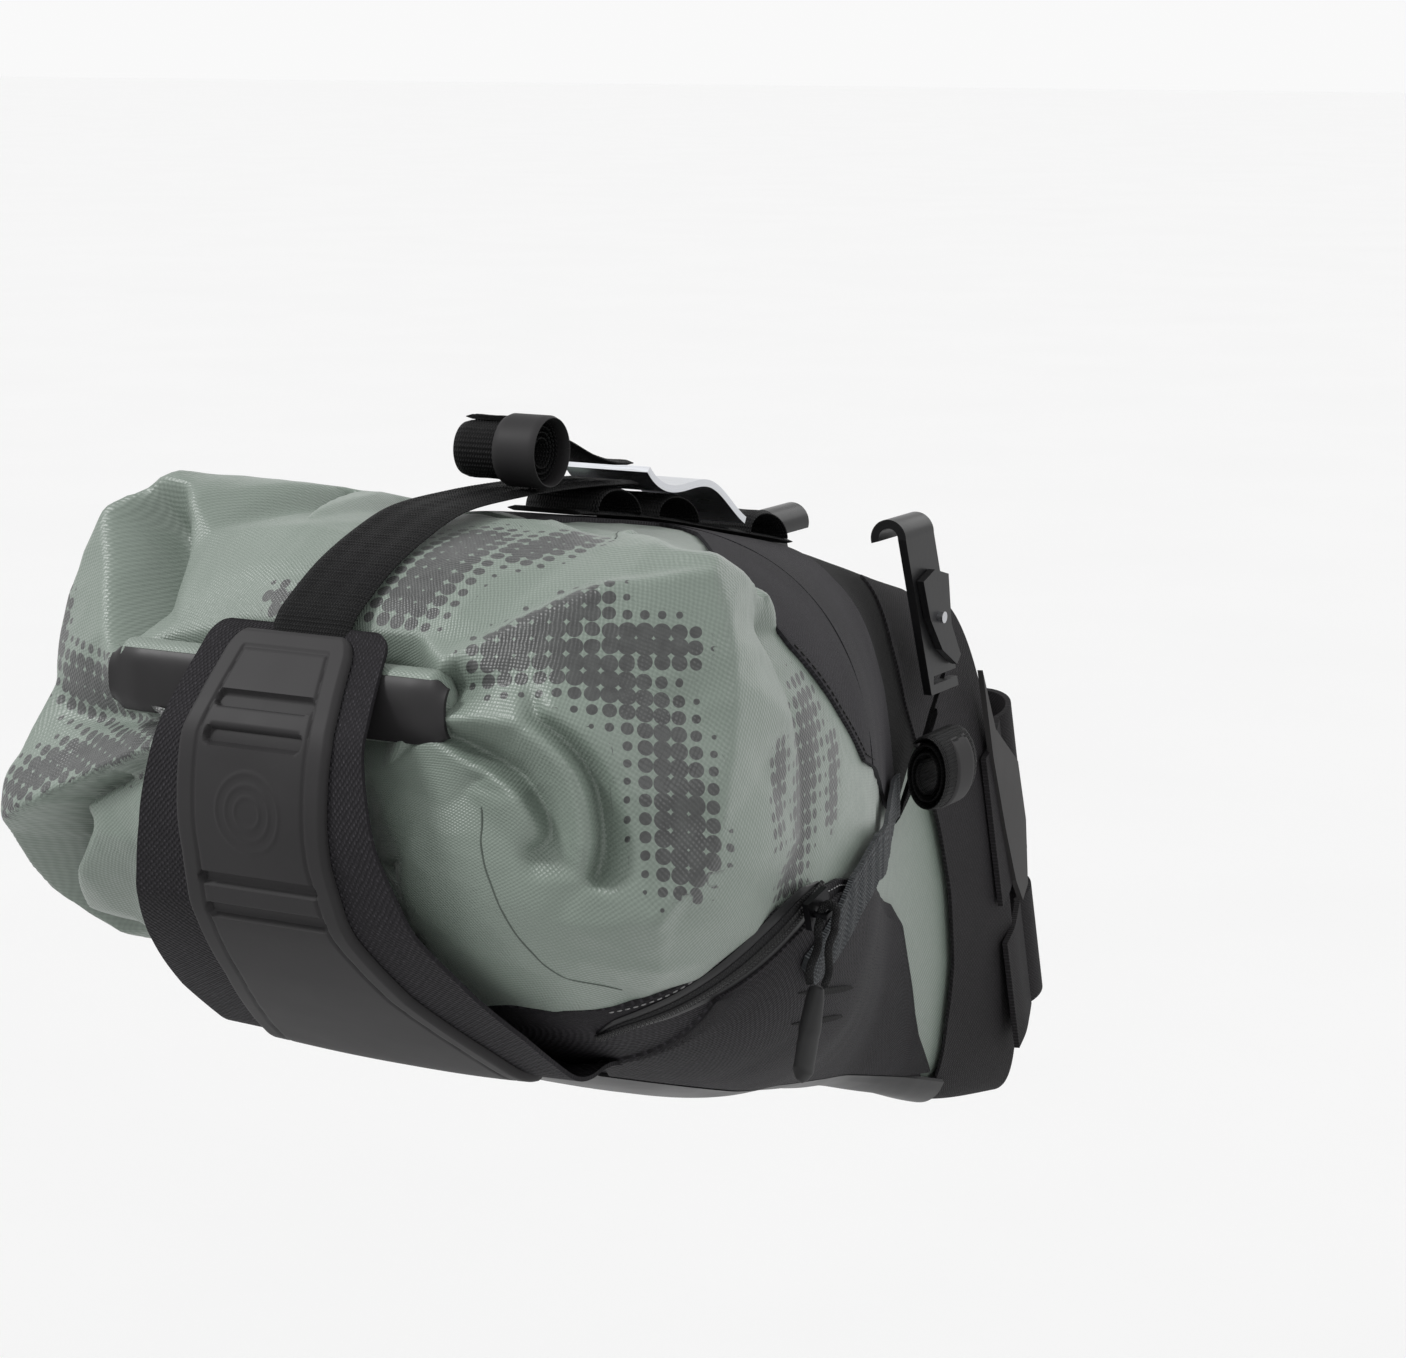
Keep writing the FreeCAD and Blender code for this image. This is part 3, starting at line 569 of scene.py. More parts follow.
def dry_bag_grid():
    """Rows of points from the bag's front to its tail."""
    turns = np.linspace(0, 2 * math.pi, 4000)
    ring = form(JOIN_Y, turns)
    bearing = np.unwrap(np.arctan2(ring[:, 2] - TAIL_HEART[2], ring[:, 0] - TAIL_HEART[0]))
    wanted = np.linspace(0, 2 * math.pi, COLUMNS, endpoint=False) - math.pi / 2
    shift = bearing[0] + np.mod(wanted - bearing[0], 2 * math.pi)
    angle = np.interp(shift, bearing, turns)
    body = []
    for y0 in np.linspace(BAG_FRONT / math.cos(POST_TILT), JOIN_Y, BODY_ROWS):
        slant = math.tan(POST_TILT) * smoothstep(-150, -40, y0)
        y = np.full(COLUMNS, float(y0))
        for _ in range(8):
            y = y0 - slant * form(y, angle)[:, 2]
        body.append(form(y, angle, -1.6 * smoothstep(-150, -110, y)))
    body = np.array(body)
    flat, radius = tail_directions(body[-1])
    share = np.linspace(0, 1, TAIL_ROWS)[1:]
    share = share * 0.8 + 0.2 * smoothstep(0, 1, share)
    mapped = flat[None] * (1 - share)[:, None, None]
    mapped[-1] = mapped[-2] * 0.02
    verts, height, triangles = tail_triangles()
    r = interpolate_tail(mapped.reshape(-1, 2), verts, height, triangles).reshape(mapped.shape[:2])
    bad = np.isnan(r)
    r[bad] = np.broadcast_to(radius, r.shape)[bad]
    polar = np.linalg.norm(mapped, axis=-1)
    turn = np.arctan2(mapped[..., 1], mapped[..., 0])
    direction = np.stack([np.sin(polar) * np.cos(turn), -np.cos(polar), np.sin(polar) * np.sin(turn)], -1)
    tail = TAIL_HEART + direction * r[..., None]
    rows = np.concatenate([body, tail])
    rows[BODY_ROWS - 14:] = smooth_grid(rows[BODY_ROWS - 14:].copy(), 3, 0.5)
    return rows


def wrinkle(rows):
    """Shallow creases of slack fabric, drawn outwards and inwards along the normals."""
    n = rows_normals(rows, closed=True)
    outward = rows - np.array([0, -250.0, 60.0])
    outward[..., 1] *= 0.3
    n *= np.sign((n * outward).sum(-1).mean())
    height = np.zeros(rows.shape[:2])
    for i, row in enumerate(rows):
        for j, p in enumerate(row):
            a = noise.noise(Vector((p[0] * 0.022, p[1] * 0.022, p[2] * 0.022)))
            b = noise.noise(Vector((p[0] * 0.07 + 5, p[1] * 0.03, p[2] * 0.07)))
            height[i, j] = 0.9 * a + 0.45 * (1 - 2 * abs(b))
    fade = smoothstep(-60, -200, rows[..., 1])
    return rows + n * (height * fade * 0.9)[..., None]


# Print: each chart has an origin, two in-plane directions and the dotted bands drawn in it,
# as (half width, centre line)
DOT_PITCH = 4.5
PRINT_CHARTS = [
    # right ear
    ((80, -420, 120), (0.874, 0.486, 0.0), (-0.195, 0.351, 0.916), [
        (15, [(58, -431, 145), (65, -422, 151), (71, -415, 155)]),
        (16, [(70, -424, 143), (84, -421, 136), (91, -416, 127), (99, -419, 114), (105, -421, 101), (106,
                                                                                                     -419,
                                                                                                     93)]),
        (10, [(84, -420, 150), (96, -408, 146)]),
    ]),
    # top panel, on both sides of the strap
    ((15, -400, 160), (1.0, 0.0, 0.0), (0.0, 0.95, 0.31), [
        (17, [(22, -421, 155), (24, -405, 162), (22, -388, 167)]),
        (13, [(40, -392, 164), (47, -378, 167)]),
        (7, [(-19, -424, 153), (-13, -428, 150)]),
    ]),
    # right flank
    ((103, -350, 95), (0.0, 1.0, 0.0), (0.1, 0.0, 0.995), [
        (15, [(101, -334, 120), (103, -343, 105), (104, -350, 88), (104, -356, 76)]),
        (8, [(98, -320, 104), (100, -325, 86)]),
        (9, [(104, -368, 110), (104, -376, 92)]),
    ]),
    # left ear and its lower face
    ((-80, -425, 120), (0.82, -0.57, 0.0), (0.2, 0.28, 0.94), [
        (14, [(-93, -418, 122), (-80, -428, 121), (-68, -433, 124), (-56, -440, 121), (-44, -445, 119)]),
        (13, [(-57, -444, 111), (-81, -436, 106), (-93, -434, 98), (-105, -432, 88)]),
        (7, [(-106, -404, 140), (-104, -412, 128)]),
    ]),
]


def print_fields(points, normals):
    """Lattice coordinates and dot radius of the print at every point."""
    lattice = np.zeros((len(points), 3))
    size = np.zeros(len(points))
    for origin, first, second, bands in PRINT_CHARTS:
        first, second = np.array(first), np.array(second)
        facing = np.abs(normals @ np.cross(first, second)) / np.linalg.norm(np.cross(first, second))
        here = np.zeros(len(points))
        for half_width, line in bands:
            far = segment_distance(points, np.array(line, float))
            here = np.maximum(here, 0.66 - 0.56 * np.clip(far / half_width, 0, 1.2) ** 1.5)
        here = np.where((here > 0.09) & (facing > 0.4), here, 0)
        better = here > size
        rel = points - np.array(origin)
        lattice[better, 0] = (rel @ first)[better] / DOT_PITCH
        lattice[better, 1] = (rel @ second)[better] / DOT_PITCH
        size = np.maximum(size, here)
    return lattice + 100.0, size


def dry_bag():
    rows = wrinkle(dry_bag_grid())
    count, columns = rows.shape[:2]
    points = rows.reshape(-1, 3)
    span = np.linalg.norm(np.diff(rows, axis=0), axis=-1).mean(1)
    down = np.concatenate([[0], np.cumsum(span)])
    uv = np.stack(np.meshgrid(np.linspace(0, 560, columns), down), -1).reshape(-1, 2)
    obj = add_mesh("dry_bag", points, tube_faces(count, columns), MATERIALS["green"], uv)
    lattice, size = print_fields(points, rows_normals(rows, closed=True).reshape(-1, 3))
    mesh = obj.data
    mesh.attributes.new("print_uv", "FLOAT_VECTOR", "POINT").data.foreach_set("vector", lattice.ravel())
    mesh.attributes.new("print_size", "FLOAT", "POINT").data.foreach_set("value", size)
    finish_piece(obj, "holster", "green_laminate", "dry_bag_shell")
    return rows


bag_rows = dry_bag()


# ---- layered harness panels ---------------------------------------------------
BASE_TOP = [(-445, 44), (-428, 44), (-405, 46), (-394, 56), (-382, 64), (-352, 68), (-322, 66),
            (-298, 60), (-225, 36), (-140, 8), (-122, -4), (-106, -30), (-90, -60), (-78, -74), (-66, -83)]
GUARD_TOP = [(-398, 29), (-392, 27), (-356, 11), (-293, -10), (-217, -32), (-149, -50), (-96, -66), (-60,
                                                                                                     -78)]
PATCH_TOP = [(-380, 46), (-352, 58), (-334, 62), (-322, 62.5), (-296, 56), (-225, 32), (-142, 4), (-126, -6),
             (-110, -30), (-96, -50), (-78, -68)]
PATCH_LOW = [(-380, 45), (-372, 20), (-356, 11.5), (-293, -9.5), (-217, -31.5), (-149, -49.5),
             (-96, -65.5), (-78, -69)]
COLLAR_LOW = [(-336, 144), (-331, 132), (-309, 110), (-287, 92), (-250, 80), (-192, 60), (-130, 36), (-100,
                                                                                                      60)]


def line_at(line, y):
    line = np.array(sorted(line), float)
    return np.interp(y, line[:, 0], line[:, 1])


def angle_at_height(y, z):
    """Angle round the form, on the right side, where it has a given height."""
    _, low, high = section(y)
    share = np.clip((np.asarray(z, float) - (low + high) / 2) / ((high - low) / 2), -1, 1)
    return np.arcsin(np.sign(share) * np.abs(share) ** (POWER / 2))


def angle_at_width(y, x):
    """Angle round the form's top, on the right side, at a distance from the middle."""
    w = section(y)[0]
    return np.arccos(np.clip(np.asarray(x, float) / w, 0, 1) ** (POWER / 2))


def solid_from_grids(name, outer, inner, material, body, slot, replaces=()):
    """Closed piece between two grids of the same size, with its rim."""
    rows, columns = outer.shape[:2]
    count = rows * columns
    points = np.concatenate([outer.reshape(-1, 3), inner.reshape(-1, 3)])
    quads = grid_quads(rows, columns)
    faces = quads[:, ::-1].tolist() + (quads + count).tolist()
    top = np.arange(columns)
    for edge in (top, top + (rows - 1) * columns):
        for a, b in zip(edge, edge[1:]):
            faces.append([a, b, b + count, a + count] if edge[0] == 0 else [b, a, a + count, b + count])
    side = np.arange(rows) * columns
    for offset, order in ((0, 1), (columns - 1, -1)):
        for a, b in zip(side + offset, side[1:] + offset):
            quad = [b, a, a + count, b + count]
            faces.append(quad[::order])
    along = np.concatenate([[0], np.cumsum(np.linalg.norm(np.diff(outer, axis=0), axis=-1).mean(1))])
    across = np.concatenate([[0], np.cumsum(np.linalg.norm(np.diff(outer, axis=1), axis=-1).mean(0))])
    uv = np.stack(np.meshgrid(across, along), -1).reshape(-1, 2)
    obj = add_mesh(name, points, faces, material, np.concatenate([uv, uv]))
    clean_faces(obj, sharp=50, weld=True)
    return finish_piece(obj, body, slot, *replaces)


def wrap_panel(name, ys, first, last, layer, material, slot, replaces=(), columns=60, ripple=0.0):
    """Panel on the form between two angles at each station."""
    t = np.linspace(0, 1, columns)[None]
    angle = first[:, None] * (1 - t) + last[:, None] * t
    station = np.broadcast_to(np.asarray(ys, float)[:, None], angle.shape)
    wave = 0.0
    if ripple:
        base = form(station, angle)
        wave = np.array([[noise.noise(Vector(p * 0.02)) for p in row] for row in base]) * ripple
        wave = np.abs(wave) * smoothstep(0, 0.12, t) * smoothstep(0, 0.12, 1 - t)
    outer = form(station, angle, layer[1] + wave)
    inner = form(station, angle, layer[0])
    return solid_from_grids(name, outer, inner, material, "holster", slot, replaces)


def nose():
    """Panel round the bag's front end: two side wings joined by a web against the post."""
    rows, wing, web = 140, 60, 36
    turn = np.linspace(-math.pi / 2, 1.3, rows)
    heights = form(-80.0, turn)[:, 2]
    rear = np.interp(heights, [-84, -70, -50, -28, -1, 20, 37, 60, 80, 104],
                     [-66, -67, -70, -70, -76, -86, -98, -118, -126, -128])
    across = np.linspace(0, math.pi, web)[1:-1]
    bulge = 2.4 * np.sin(across) ** 0.5

    def path(offset, front):
        grid = []
        for a, rear_y in zip(turn, rear):
            front_y = front / math.cos(POST_TILT)
            for _ in range(8):
                front_y = front / math.cos(POST_TILT) - math.tan(POST_TILT) * form(front_y, a, offset)[2]
            right = form(np.linspace(rear_y, front_y, wing), a, offset)
            edge = right[-1]
            middle = np.stack([edge[0] * np.cos(across), edge[1] + bulge, np.full(web - 2, edge[2])], -1)
            grid.append(np.concatenate([right, middle, right[::-1] * np.array([-1, 1, 1])]))
        return np.array(grid)

    solid_from_grids("nose_cloth", path(1.8, BAG_FRONT + 2.0), path(0.5, BAG_FRONT + 0.6),
                     MATERIALS["canvas_fine"], "holster", "black_laminate", ("nose_panel",))


def mirror_line(angle):
    return math.pi - angle


def harness_shells():
    canvas = MATERIALS["canvas"]
    ys = np.linspace(-428, -67, 180)
    right = angle_at_height(ys, line_at(BASE_TOP, ys))
    wrap_panel("base_wrap", ys, right, -math.pi - right, (0.4, 1.7), canvas, "black_laminate",
               ("holster_base",), 150, 1.6)
    ys = np.linspace(-396, -62, 150)
    right = angle_at_height(ys, line_at(GUARD_TOP, ys))
    wrap_panel("guard_wrap", ys, right, -math.pi - right, (2.0, 3.2), MATERIALS["guard"], "smooth_guard",
               ("bottom_guard",), 120, 0.8)
    ys = np.linspace(-380, -78, 150)
    low = angle_at_height(ys, line_at(PATCH_LOW, ys))
    high = angle_at_height(ys, line_at(PATCH_TOP, ys))
    for side, name in ((1, "right"), (-1, "left")):
        a, b = (low, high) if side > 0 else (mirror_line(low), mirror_line(high))
        wrap_panel(name + "_patch", ys, a, b, (2.0, 3.2), canvas, "black_laminate", (name + "_side_patch",),
                   50, 0.9)
    collar = MATERIALS["collar"]
    t = np.linspace(0, 1, 121)
    low = angle_at_height(-200.0, 62.0)
    fan = low * (1 - t) + (math.pi - low) * t
    front = np.interp(np.abs(fan - math.pi / 2), [0.0, 0.55, 1.1, 1.5], [-196, -190, -148, -136])
    ys = -276 + np.linspace(0, 1, 90)[:, None] * (front[None] + 276)
    right = angle_at_height(ys, line_at(COLLAR_LOW, ys))
    angle = right * (1 - t) + (math.pi - right) * t
    solid_from_grids("collar_top", form(ys, angle, 1.9), form(ys, angle, 0.4), collar, "holster",
                     "black_laminate", ("top_collar",))
    # real black fabric in front of the collar, coloured near-black as painted shade from the saddle above it
    ys = np.linspace(-205, -84, 70)
    right = angle_at_height(ys, line_at([(-205, 66), (-192, 62), (-130, 40), (-100, 62), (-84, 70)], ys))
    wrap_panel("collar_front_painted_shade", ys, right, math.pi - right, (0.1, 0.9), MATERIALS["painted_shade"],
               "black_laminate", (), 90)
    nose()
    ys = np.linspace(-336, -275, 40)
    low = angle_at_height(ys, line_at(COLLAR_LOW, ys))
    high = angle_at_width(ys, line_at([(-275, 15), (-284, 32), (-317, 56), (-336, 80)], ys))
    high = np.maximum(high, low + 0.02)
    for side, name in ((1, "right"), (-1, "left")):
        a, b = (low, high) if side > 0 else (mirror_line(low), mirror_line(high))
        wrap_panel(name + "_collar_wing", ys, a, b, (0.4, 1.6), collar, "black_laminate", (), 50, 0.6)
    ys = np.linspace(-374, -275, 50)
    half = angle_at_width(ys, 15.0)
    wrap_panel("collar_strip", ys, half, math.pi - half, (0.4, 1.6), collar, "black_laminate", (), 24)


def side_straps():
    """Webbing along each flank, on top of the side patches."""
    top = [(-346, 50), (-318, 66), (-287, 71), (-190, 57), (-141, 53)]
    low = [(-346, 48), (-334, 40), (-306, 53), (-285, 57), (-190, 43), (-141, 39)]
    ys = np.linspace(-345, -142, 260)
    a = angle_at_height(ys, line_at(low, ys))
    b = angle_at_height(ys, line_at(top, ys))
    rib = 0.14 * np.sin(ys * 2 * math.pi / 1.7)[:, None]
    t = np.linspace(0, 1, 18)[None]
    for side, name in ((1, "right"), (-1, "left")):
        angle = a[:, None] * (1 - t) + b[:, None] * t
        if side < 0:
            angle = mirror_line(angle)
        station = np.broadcast_to(ys[:, None], angle.shape)
        solid_from_grids(name + "_side_webbing", form(station, angle, 5.0 + rib), form(station, angle, 3.6),
                         MATERIALS["grey_webbing"], "holster", "grey_webbing", (name + "_side_strap",))


def band(name, path, across, width, thickness, material, body, slot, replaces=(), up=(0, 0, 1),
         rib=0.13, pitch=1.7, columns=12, step=0.45, taper=None):
    """Webbing swept along a line of 3-D points; its lower face follows the points."""
    path = np.asarray(path, float)
    run = run_length(path)
    count = max(8, int(run[-1] / step))
    at = np.linspace(0, run[-1], count)
    centre = sample(path, run, at)
    across = np.asarray(across, float)
    if across.ndim == 1:
        side = np.broadcast_to(across / np.linalg.norm(across), centre.shape)
    else:
        side = unit(sample(across, run, at))
    tangent = np.gradient(centre, axis=0)
    for _ in range(2):
        tangent[1:-1] = (tangent[:-2] + 2 * tangent[1:-1] + tangent[2:]) / 4
    normal = unit(np.cross(side, unit(tangent)))
    if normal[count // 2] @ np.asarray(up, float) < 0:
        normal = -normal
    half = np.full(count, width / 2.0)
    if taper is not None:
        half = np.interp(at, np.linspace(0, run[-1], len(taper)), taper)
    u = np.linspace(-1, 1, columns)
    edge = np.clip((1 - np.abs(u)) / 0.07, 0, 1) ** 0.5
    selvedge = 1 + 0.06 * smoothstep(0.80, 0.9, np.abs(u))
    wave = np.sin(at * 2 * math.pi / pitch)[:, None]
    ribs = rib * (wave * np.cos(u * 9.0)[None] * 0.5 + 0.5 * wave)
    top_height = (thickness * selvedge)[None] * (0.55 + 0.45 * edge)[None] + ribs * edge[None]
    low_height = np.broadcast_to((thickness * 0.5 * (1 - edge) * 0.8)[None], top_height.shape)
    flat = centre[:, None] + side[:, None] * (u[None] * half[:, None])[..., None]
    top = flat + normal[:, None] * top_height[..., None]
    low = flat + normal[:, None] * low_height[..., None]
    ring = np.concatenate([top, low[:, ::-1]], 1)
    loop = np.concatenate([u * width / 2, width + u * width / 2])
    uv = np.stack(np.meshgrid(loop, at), -1)[..., ::-1].reshape(-1, 2)
    obj = add_mesh(name, ring.reshape(-1, 3), tube_faces(*ring.shape[:2]), material, uv)
    clean_faces(obj, sharp=60)
    return finish_piece(obj, body, slot, *replaces)


def plane_points(a, b, axis):
    """Points in the plane across an axis, from their two distances in it."""
    zero = np.zeros_like(a)
    return np.stack([zero, a, b] if axis == "X" else [a, zero, b], -1)


def spiral(radius_in, radius_out, turns, axis, start):
    """Line of a rolled strap in the plane across its axis."""
    t = np.linspace(0, 1, int(90 * turns))
    turn = start + t * turns * 2 * math.pi
    r = radius_in + (radius_out - radius_in) * t
    return plane_points(r * np.cos(turn), r * np.sin(turn), axis)


def hoop(a, b, axis):
    """Closed line round a rolled strap, in the plane across its axis."""
    t = np.linspace(0, 2 * math.pi, 97)
    return plane_points(a * np.cos(t), b * np.sin(t), axis)


STRAP_LINE = [(-438.6, 140.5), (-436.5, 144.0), (-433.2, 148.6), (-429, 152.2), (-414, 160.7), (-396, 167.3),
              (-378, 171.4), (-353, 172.0), (-331, 171.5), (-309, 170.3), (-284, 168.1)]
STRAP_TAIL = [(-331.5, 188.0), (-322, 184.5), (-310, 179.5), (-298, 176.0), (-287, 174.5)]
ROLL_CENTRE = np.array([0, -339, 184.4])
ROLL_KEEPER = (9.2, 10.5)             # inner and outer radius
KEEPER_WIDTH = 14
KEEPER_X = 9.0
LOOP_HEIGHT = 6.4
LOOP_HALF = 12.0


def straps():
    """Compression strap with its roll and keeper, and the webbing with raised loops along the crest."""
    web = MATERIALS["webbing"]
    path = catmull([(0, y, z) for y, z in STRAP_LINE], 200)
    band("compression_webbing", path, X_AXIS, WEB_WIDTH, WEB_THICKNESS, web, "rear_tongue", "black_webbing",
         ("compression_strap",))
    coil = spiral(3.0, 8.2, 3.2, "X", 0.4) + ROLL_CENTRE
    band("strap_roll", coil, X_AXIS, WEB_WIDTH, ROLLED_WEB, web, "rear_tongue", "black_webbing",
         ("strap_coil",), step=0.6)
    inner, outer = ROLL_KEEPER
    ring = hoop(inner, inner, "X") + ROLL_CENTRE
    ring[:, 0] = KEEPER_X
    band("strap_roll_keeper", ring, X_AXIS, KEEPER_WIDTH, outer - inner, MATERIALS["keeper"], "rear_tongue",
         "keeper_rubber", ("strap_keeper",), up=(0, -1, 0), rib=0.0, step=0.8)
    # loose end of the roll, down to the hook plate
    tail = catmull([(0, y, z) for y, z in STRAP_TAIL], 80)
    band("strap_tail", tail, X_AXIS, WEB_WIDTH, WEB_THICKNESS, web, "rear_tongue", "black_webbing")
    ys = np.linspace(-318, -184, 60)
    line = np.stack([np.zeros_like(ys), ys, section(ys)[2] + 2.0], -1)
    band("loop_chain", line, X_AXIS, WEB_WIDTH, WEB_THICKNESS, web, "holster", "loop_strap", ("daisy_chain",))
    for i, y in enumerate((-295, -259, -200)):
        t = np.linspace(0, math.pi, 40)
        loop_y = y - LOOP_HALF * np.cos(t)
        high = section(loop_y)[2] + 3.2 + LOOP_HEIGHT * np.sin(t)
        band(f"loop_{i}", np.stack([np.zeros_like(t), loop_y, high], -1), X_AXIS, WEB_WIDTH, WEB_THICKNESS,
             web, "holster", "loop_strap")


RAIL_ROLL_CENTRE = (42.0, -130, 56)
RAIL_ROLL_DROP = np.array([0, 0, -1.5])
HOOK_WEB_X = 28.4
HOOK_WEB_WIDTH = 19


def rail_straps():
    """Webbing from each hook plate to the side strap, with its rolled end and keeper."""
    web = MATERIALS["webbing"]
    x = HOOK_WEB_X
    for side, name in ((1, "right"), (-1, "left")):
        centre = np.array(RAIL_ROLL_CENTRE) * np.array([side, 1, 1])
        coil = spiral(3.2, 8.6, 3.0, "Y", 2.2) * np.array([0.85 * side, 1, 1.45]) + centre + RAIL_ROLL_DROP
        band(name + "_rail_roll", coil, (0, 1, 0), WEB_WIDTH, ROLLED_WEB, web, "holster", "black_webbing",
             (name + "_rail_strap_coil",), step=0.6)
        ring = hoop(8.6, 13.2, "Y") + centre + np.array([0, 2.5, -1.5])
        band(name + "_rail_keeper", ring, (0, 1, 0), KEEPER_WIDTH, 1.3, MATERIALS["keeper"], "holster",
             "keeper_rubber", (name + "_rail_strap_keeper",), rib=0.0, step=0.8)
        path = catmull([(x, -103.5, 74.5), (x, -108, 68), (x, -116, 58), (x, -124, 50), (x + 1.5, -136, 44)],
                       80)
        path[:, 0] *= side
        band(name + "_hook_web", path, (0, 0.62, 0.78), HOOK_WEB_WIDTH, WEB_THICKNESS, web, "holster",
             "black_webbing", (name + "_hook_webbing",), up=(side, 0, 0))


def surface_normals(y, z, step=0.5):
    """Outward normals of the form from two neighbouring points in each direction."""
    here = flank(y, z)
    n = np.cross(flank(y + step, z) - here, flank(y, z + step) - here)
    n /= np.maximum(np.linalg.norm(n, axis=1, keepdims=True), 1e-9)
    return n * np.sign(n[:, :1])


def flank(y, z, offset=0.0):
    """Point on the form's right side at a station and a height."""
    return form(y, angle_at_height(y, z), offset)


ZIP_LINE = [(-340, 69), (-356, 62.5), (-370, 57), (-381, 52), (-390, 46.5), (-395, 41), (-394, 36)]
PULL_LEAN = math.radians(20)          # the pull hangs tilted to the rear
CORD_RADIUS = 1.15
CORD_BEND = 2.3
CORD_LEG_SHARE = 0.42                 # share of the cord's line in each leg; the bend has the rest
CORD_BEND_SHARE = 0.16


def box_mm(node):
    """Lowest and highest corner of a CAD node, in millimetres."""
    return (np.array(corner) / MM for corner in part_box(node))


def pull_grip_grid():
    """Rings of the moulded grip: narrow neck, wide body with a thumb hollow, rounded end."""
    low, high = box_mm("zip_pull_grip")
    middle = (low + high) / 2
    t = np.linspace(0, 1, 60)
    turn = np.linspace(0, 2 * math.pi, 40, endpoint=False)
    width = np.interp(t, [0, 0.03, 0.12, 0.35, 0.6, 0.85, 0.97, 1.0], [0.5, 2.2, 2.9, 4.2, 5.2, 5.0, 3.0,
                                                                       0.4])
    depth = np.interp(t, [0, 0.03, 0.12, 0.5, 0.9, 1.0], [0.5, 1.9, 2.3, 2.4, 2.2, 0.4])
    depth = depth - 0.5 * smoothstep(0.45, 0.55, t) * (1 - smoothstep(0.8, 0.9, t))
    x = middle[0] + depth[:, None] * np.sign(np.cos(turn)) * np.abs(np.cos(turn)) ** 0.8
    y = middle[1] + width[:, None] * np.sign(np.sin(turn)) * np.abs(np.sin(turn)) ** 0.9
    z = high[2] + 0.2 - t[:, None] * (high[2] - low[2])
    return np.stack(np.broadcast_arrays(x, y, z), -1)


def zip_pull():
    """Cord loop and grip, which lean to the rear from the bar on the slider."""
    low, high = box_mm("zip_pull_cord")
    centre = (low + high) / 2
    length = high[2] - low[2]
    hinge = np.array([centre[0], centre[1], high[2]])

    def hang(points):
        rel = points - hinge
        back = rel[..., 1] * math.cos(PULL_LEAN) + rel[..., 2] * math.sin(PULL_LEAN)
        down = rel[..., 2] * math.cos(PULL_LEAN) - rel[..., 1] * math.sin(PULL_LEAN)
        return hinge + np.stack([rel[..., 0], back, down], -1)

    tube_piece("pull_grip", hang(pull_grip_grid()), MATERIALS["grip"], "pocket_pull", "keeper_rubber",
               ("zip_pull_grip",))
    t = np.linspace(0, 1, 160)
    bend = np.pi * np.clip((t - CORD_LEG_SHARE) / CORD_BEND_SHARE, 0, 1)
    falling = np.where(t > 0.58, (1 - t) / CORD_LEG_SHARE, 1.0)
    leg = np.where(t < CORD_LEG_SHARE, t / CORD_LEG_SHARE, falling) * (length - 3.5)
    arch = np.stack([CORD_BEND * np.cos(bend), np.zeros_like(t), leg + CORD_BEND * np.sin(bend)], -1)
    arch[:, 1] = 1.3 * np.sin(arch[:, 2] * 0.45) * np.sign(arch[:, 0]) * smoothstep(0, 4,
                                                                                    length - 6 - arch[:, 2])
    path = hang(arch + np.array([centre[0], centre[1], low[2]]))
    swept_tube("pull_cord", path, CORD_RADIUS, MATERIALS["cord"], "pocket_pull", "pull_cord",
               ("zip_pull_cord",), braid=True)


def zip_pocket():
    """Curved zip round the pocket's rear corner: welded flange, tape, teeth and the pull."""
    knots = catmull(ZIP_LINE, 160)
    y, z = knots[:, 0], knots[:, 1]
    n = surface_normals(y, z)
    line = flank(y, z)
    across = unit(np.cross(n, np.gradient(line, axis=0)))
    band("zip_flange", line + n * 1.5, across, 9.0, 1.0, MATERIALS["guard"], "holster", "smooth_guard",
         ("zip_tape",), up=X_AXIS, rib=0.0, taper=[1.0, 6.2, 8.0, 8.6, 8.6, 8.2, 7.2, 5.0, 1.0])
    band("zip_cloth", line + n * 2.2, across, 6.0, 0.8, MATERIALS["zip_tape"], "holster", "black_laminate",
         (), up=X_AXIS, rib=0.0, taper=[0.6, 3.4, 4.2, 4.6, 4.6, 4.4, 3.8, 2.6, 0.5])
    band("zip_coil", line + n * 2.7, across, 3.0, 1.0, MATERIALS["plastic"], "holster", "zip_plastic",
         ("zip_teeth",), up=X_AXIS, rib=0.5, pitch=1.3, step=0.25)
    zip_pull()


def tube_piece(name, grid, material, body, slot, replaces=()):
    """Closed piece from a stack of rings."""
    rows, ring = grid.shape[:2]
    down = np.concatenate([[0], np.cumsum(np.linalg.norm(np.diff(grid, axis=0), axis=-1).mean(1))])
    round_it = np.linspace(0, 1, ring) * np.linalg.norm(np.diff(grid, axis=1), axis=-1).sum(1).max()
    uv = np.stack(np.meshgrid(round_it, down), -1).reshape(-1, 2)
    obj = add_mesh(name, grid.reshape(-1, 3), tube_faces(rows, ring), material, uv)
    clean_faces(obj, sharp=55)
    return finish_piece(obj, body, slot, *replaces)


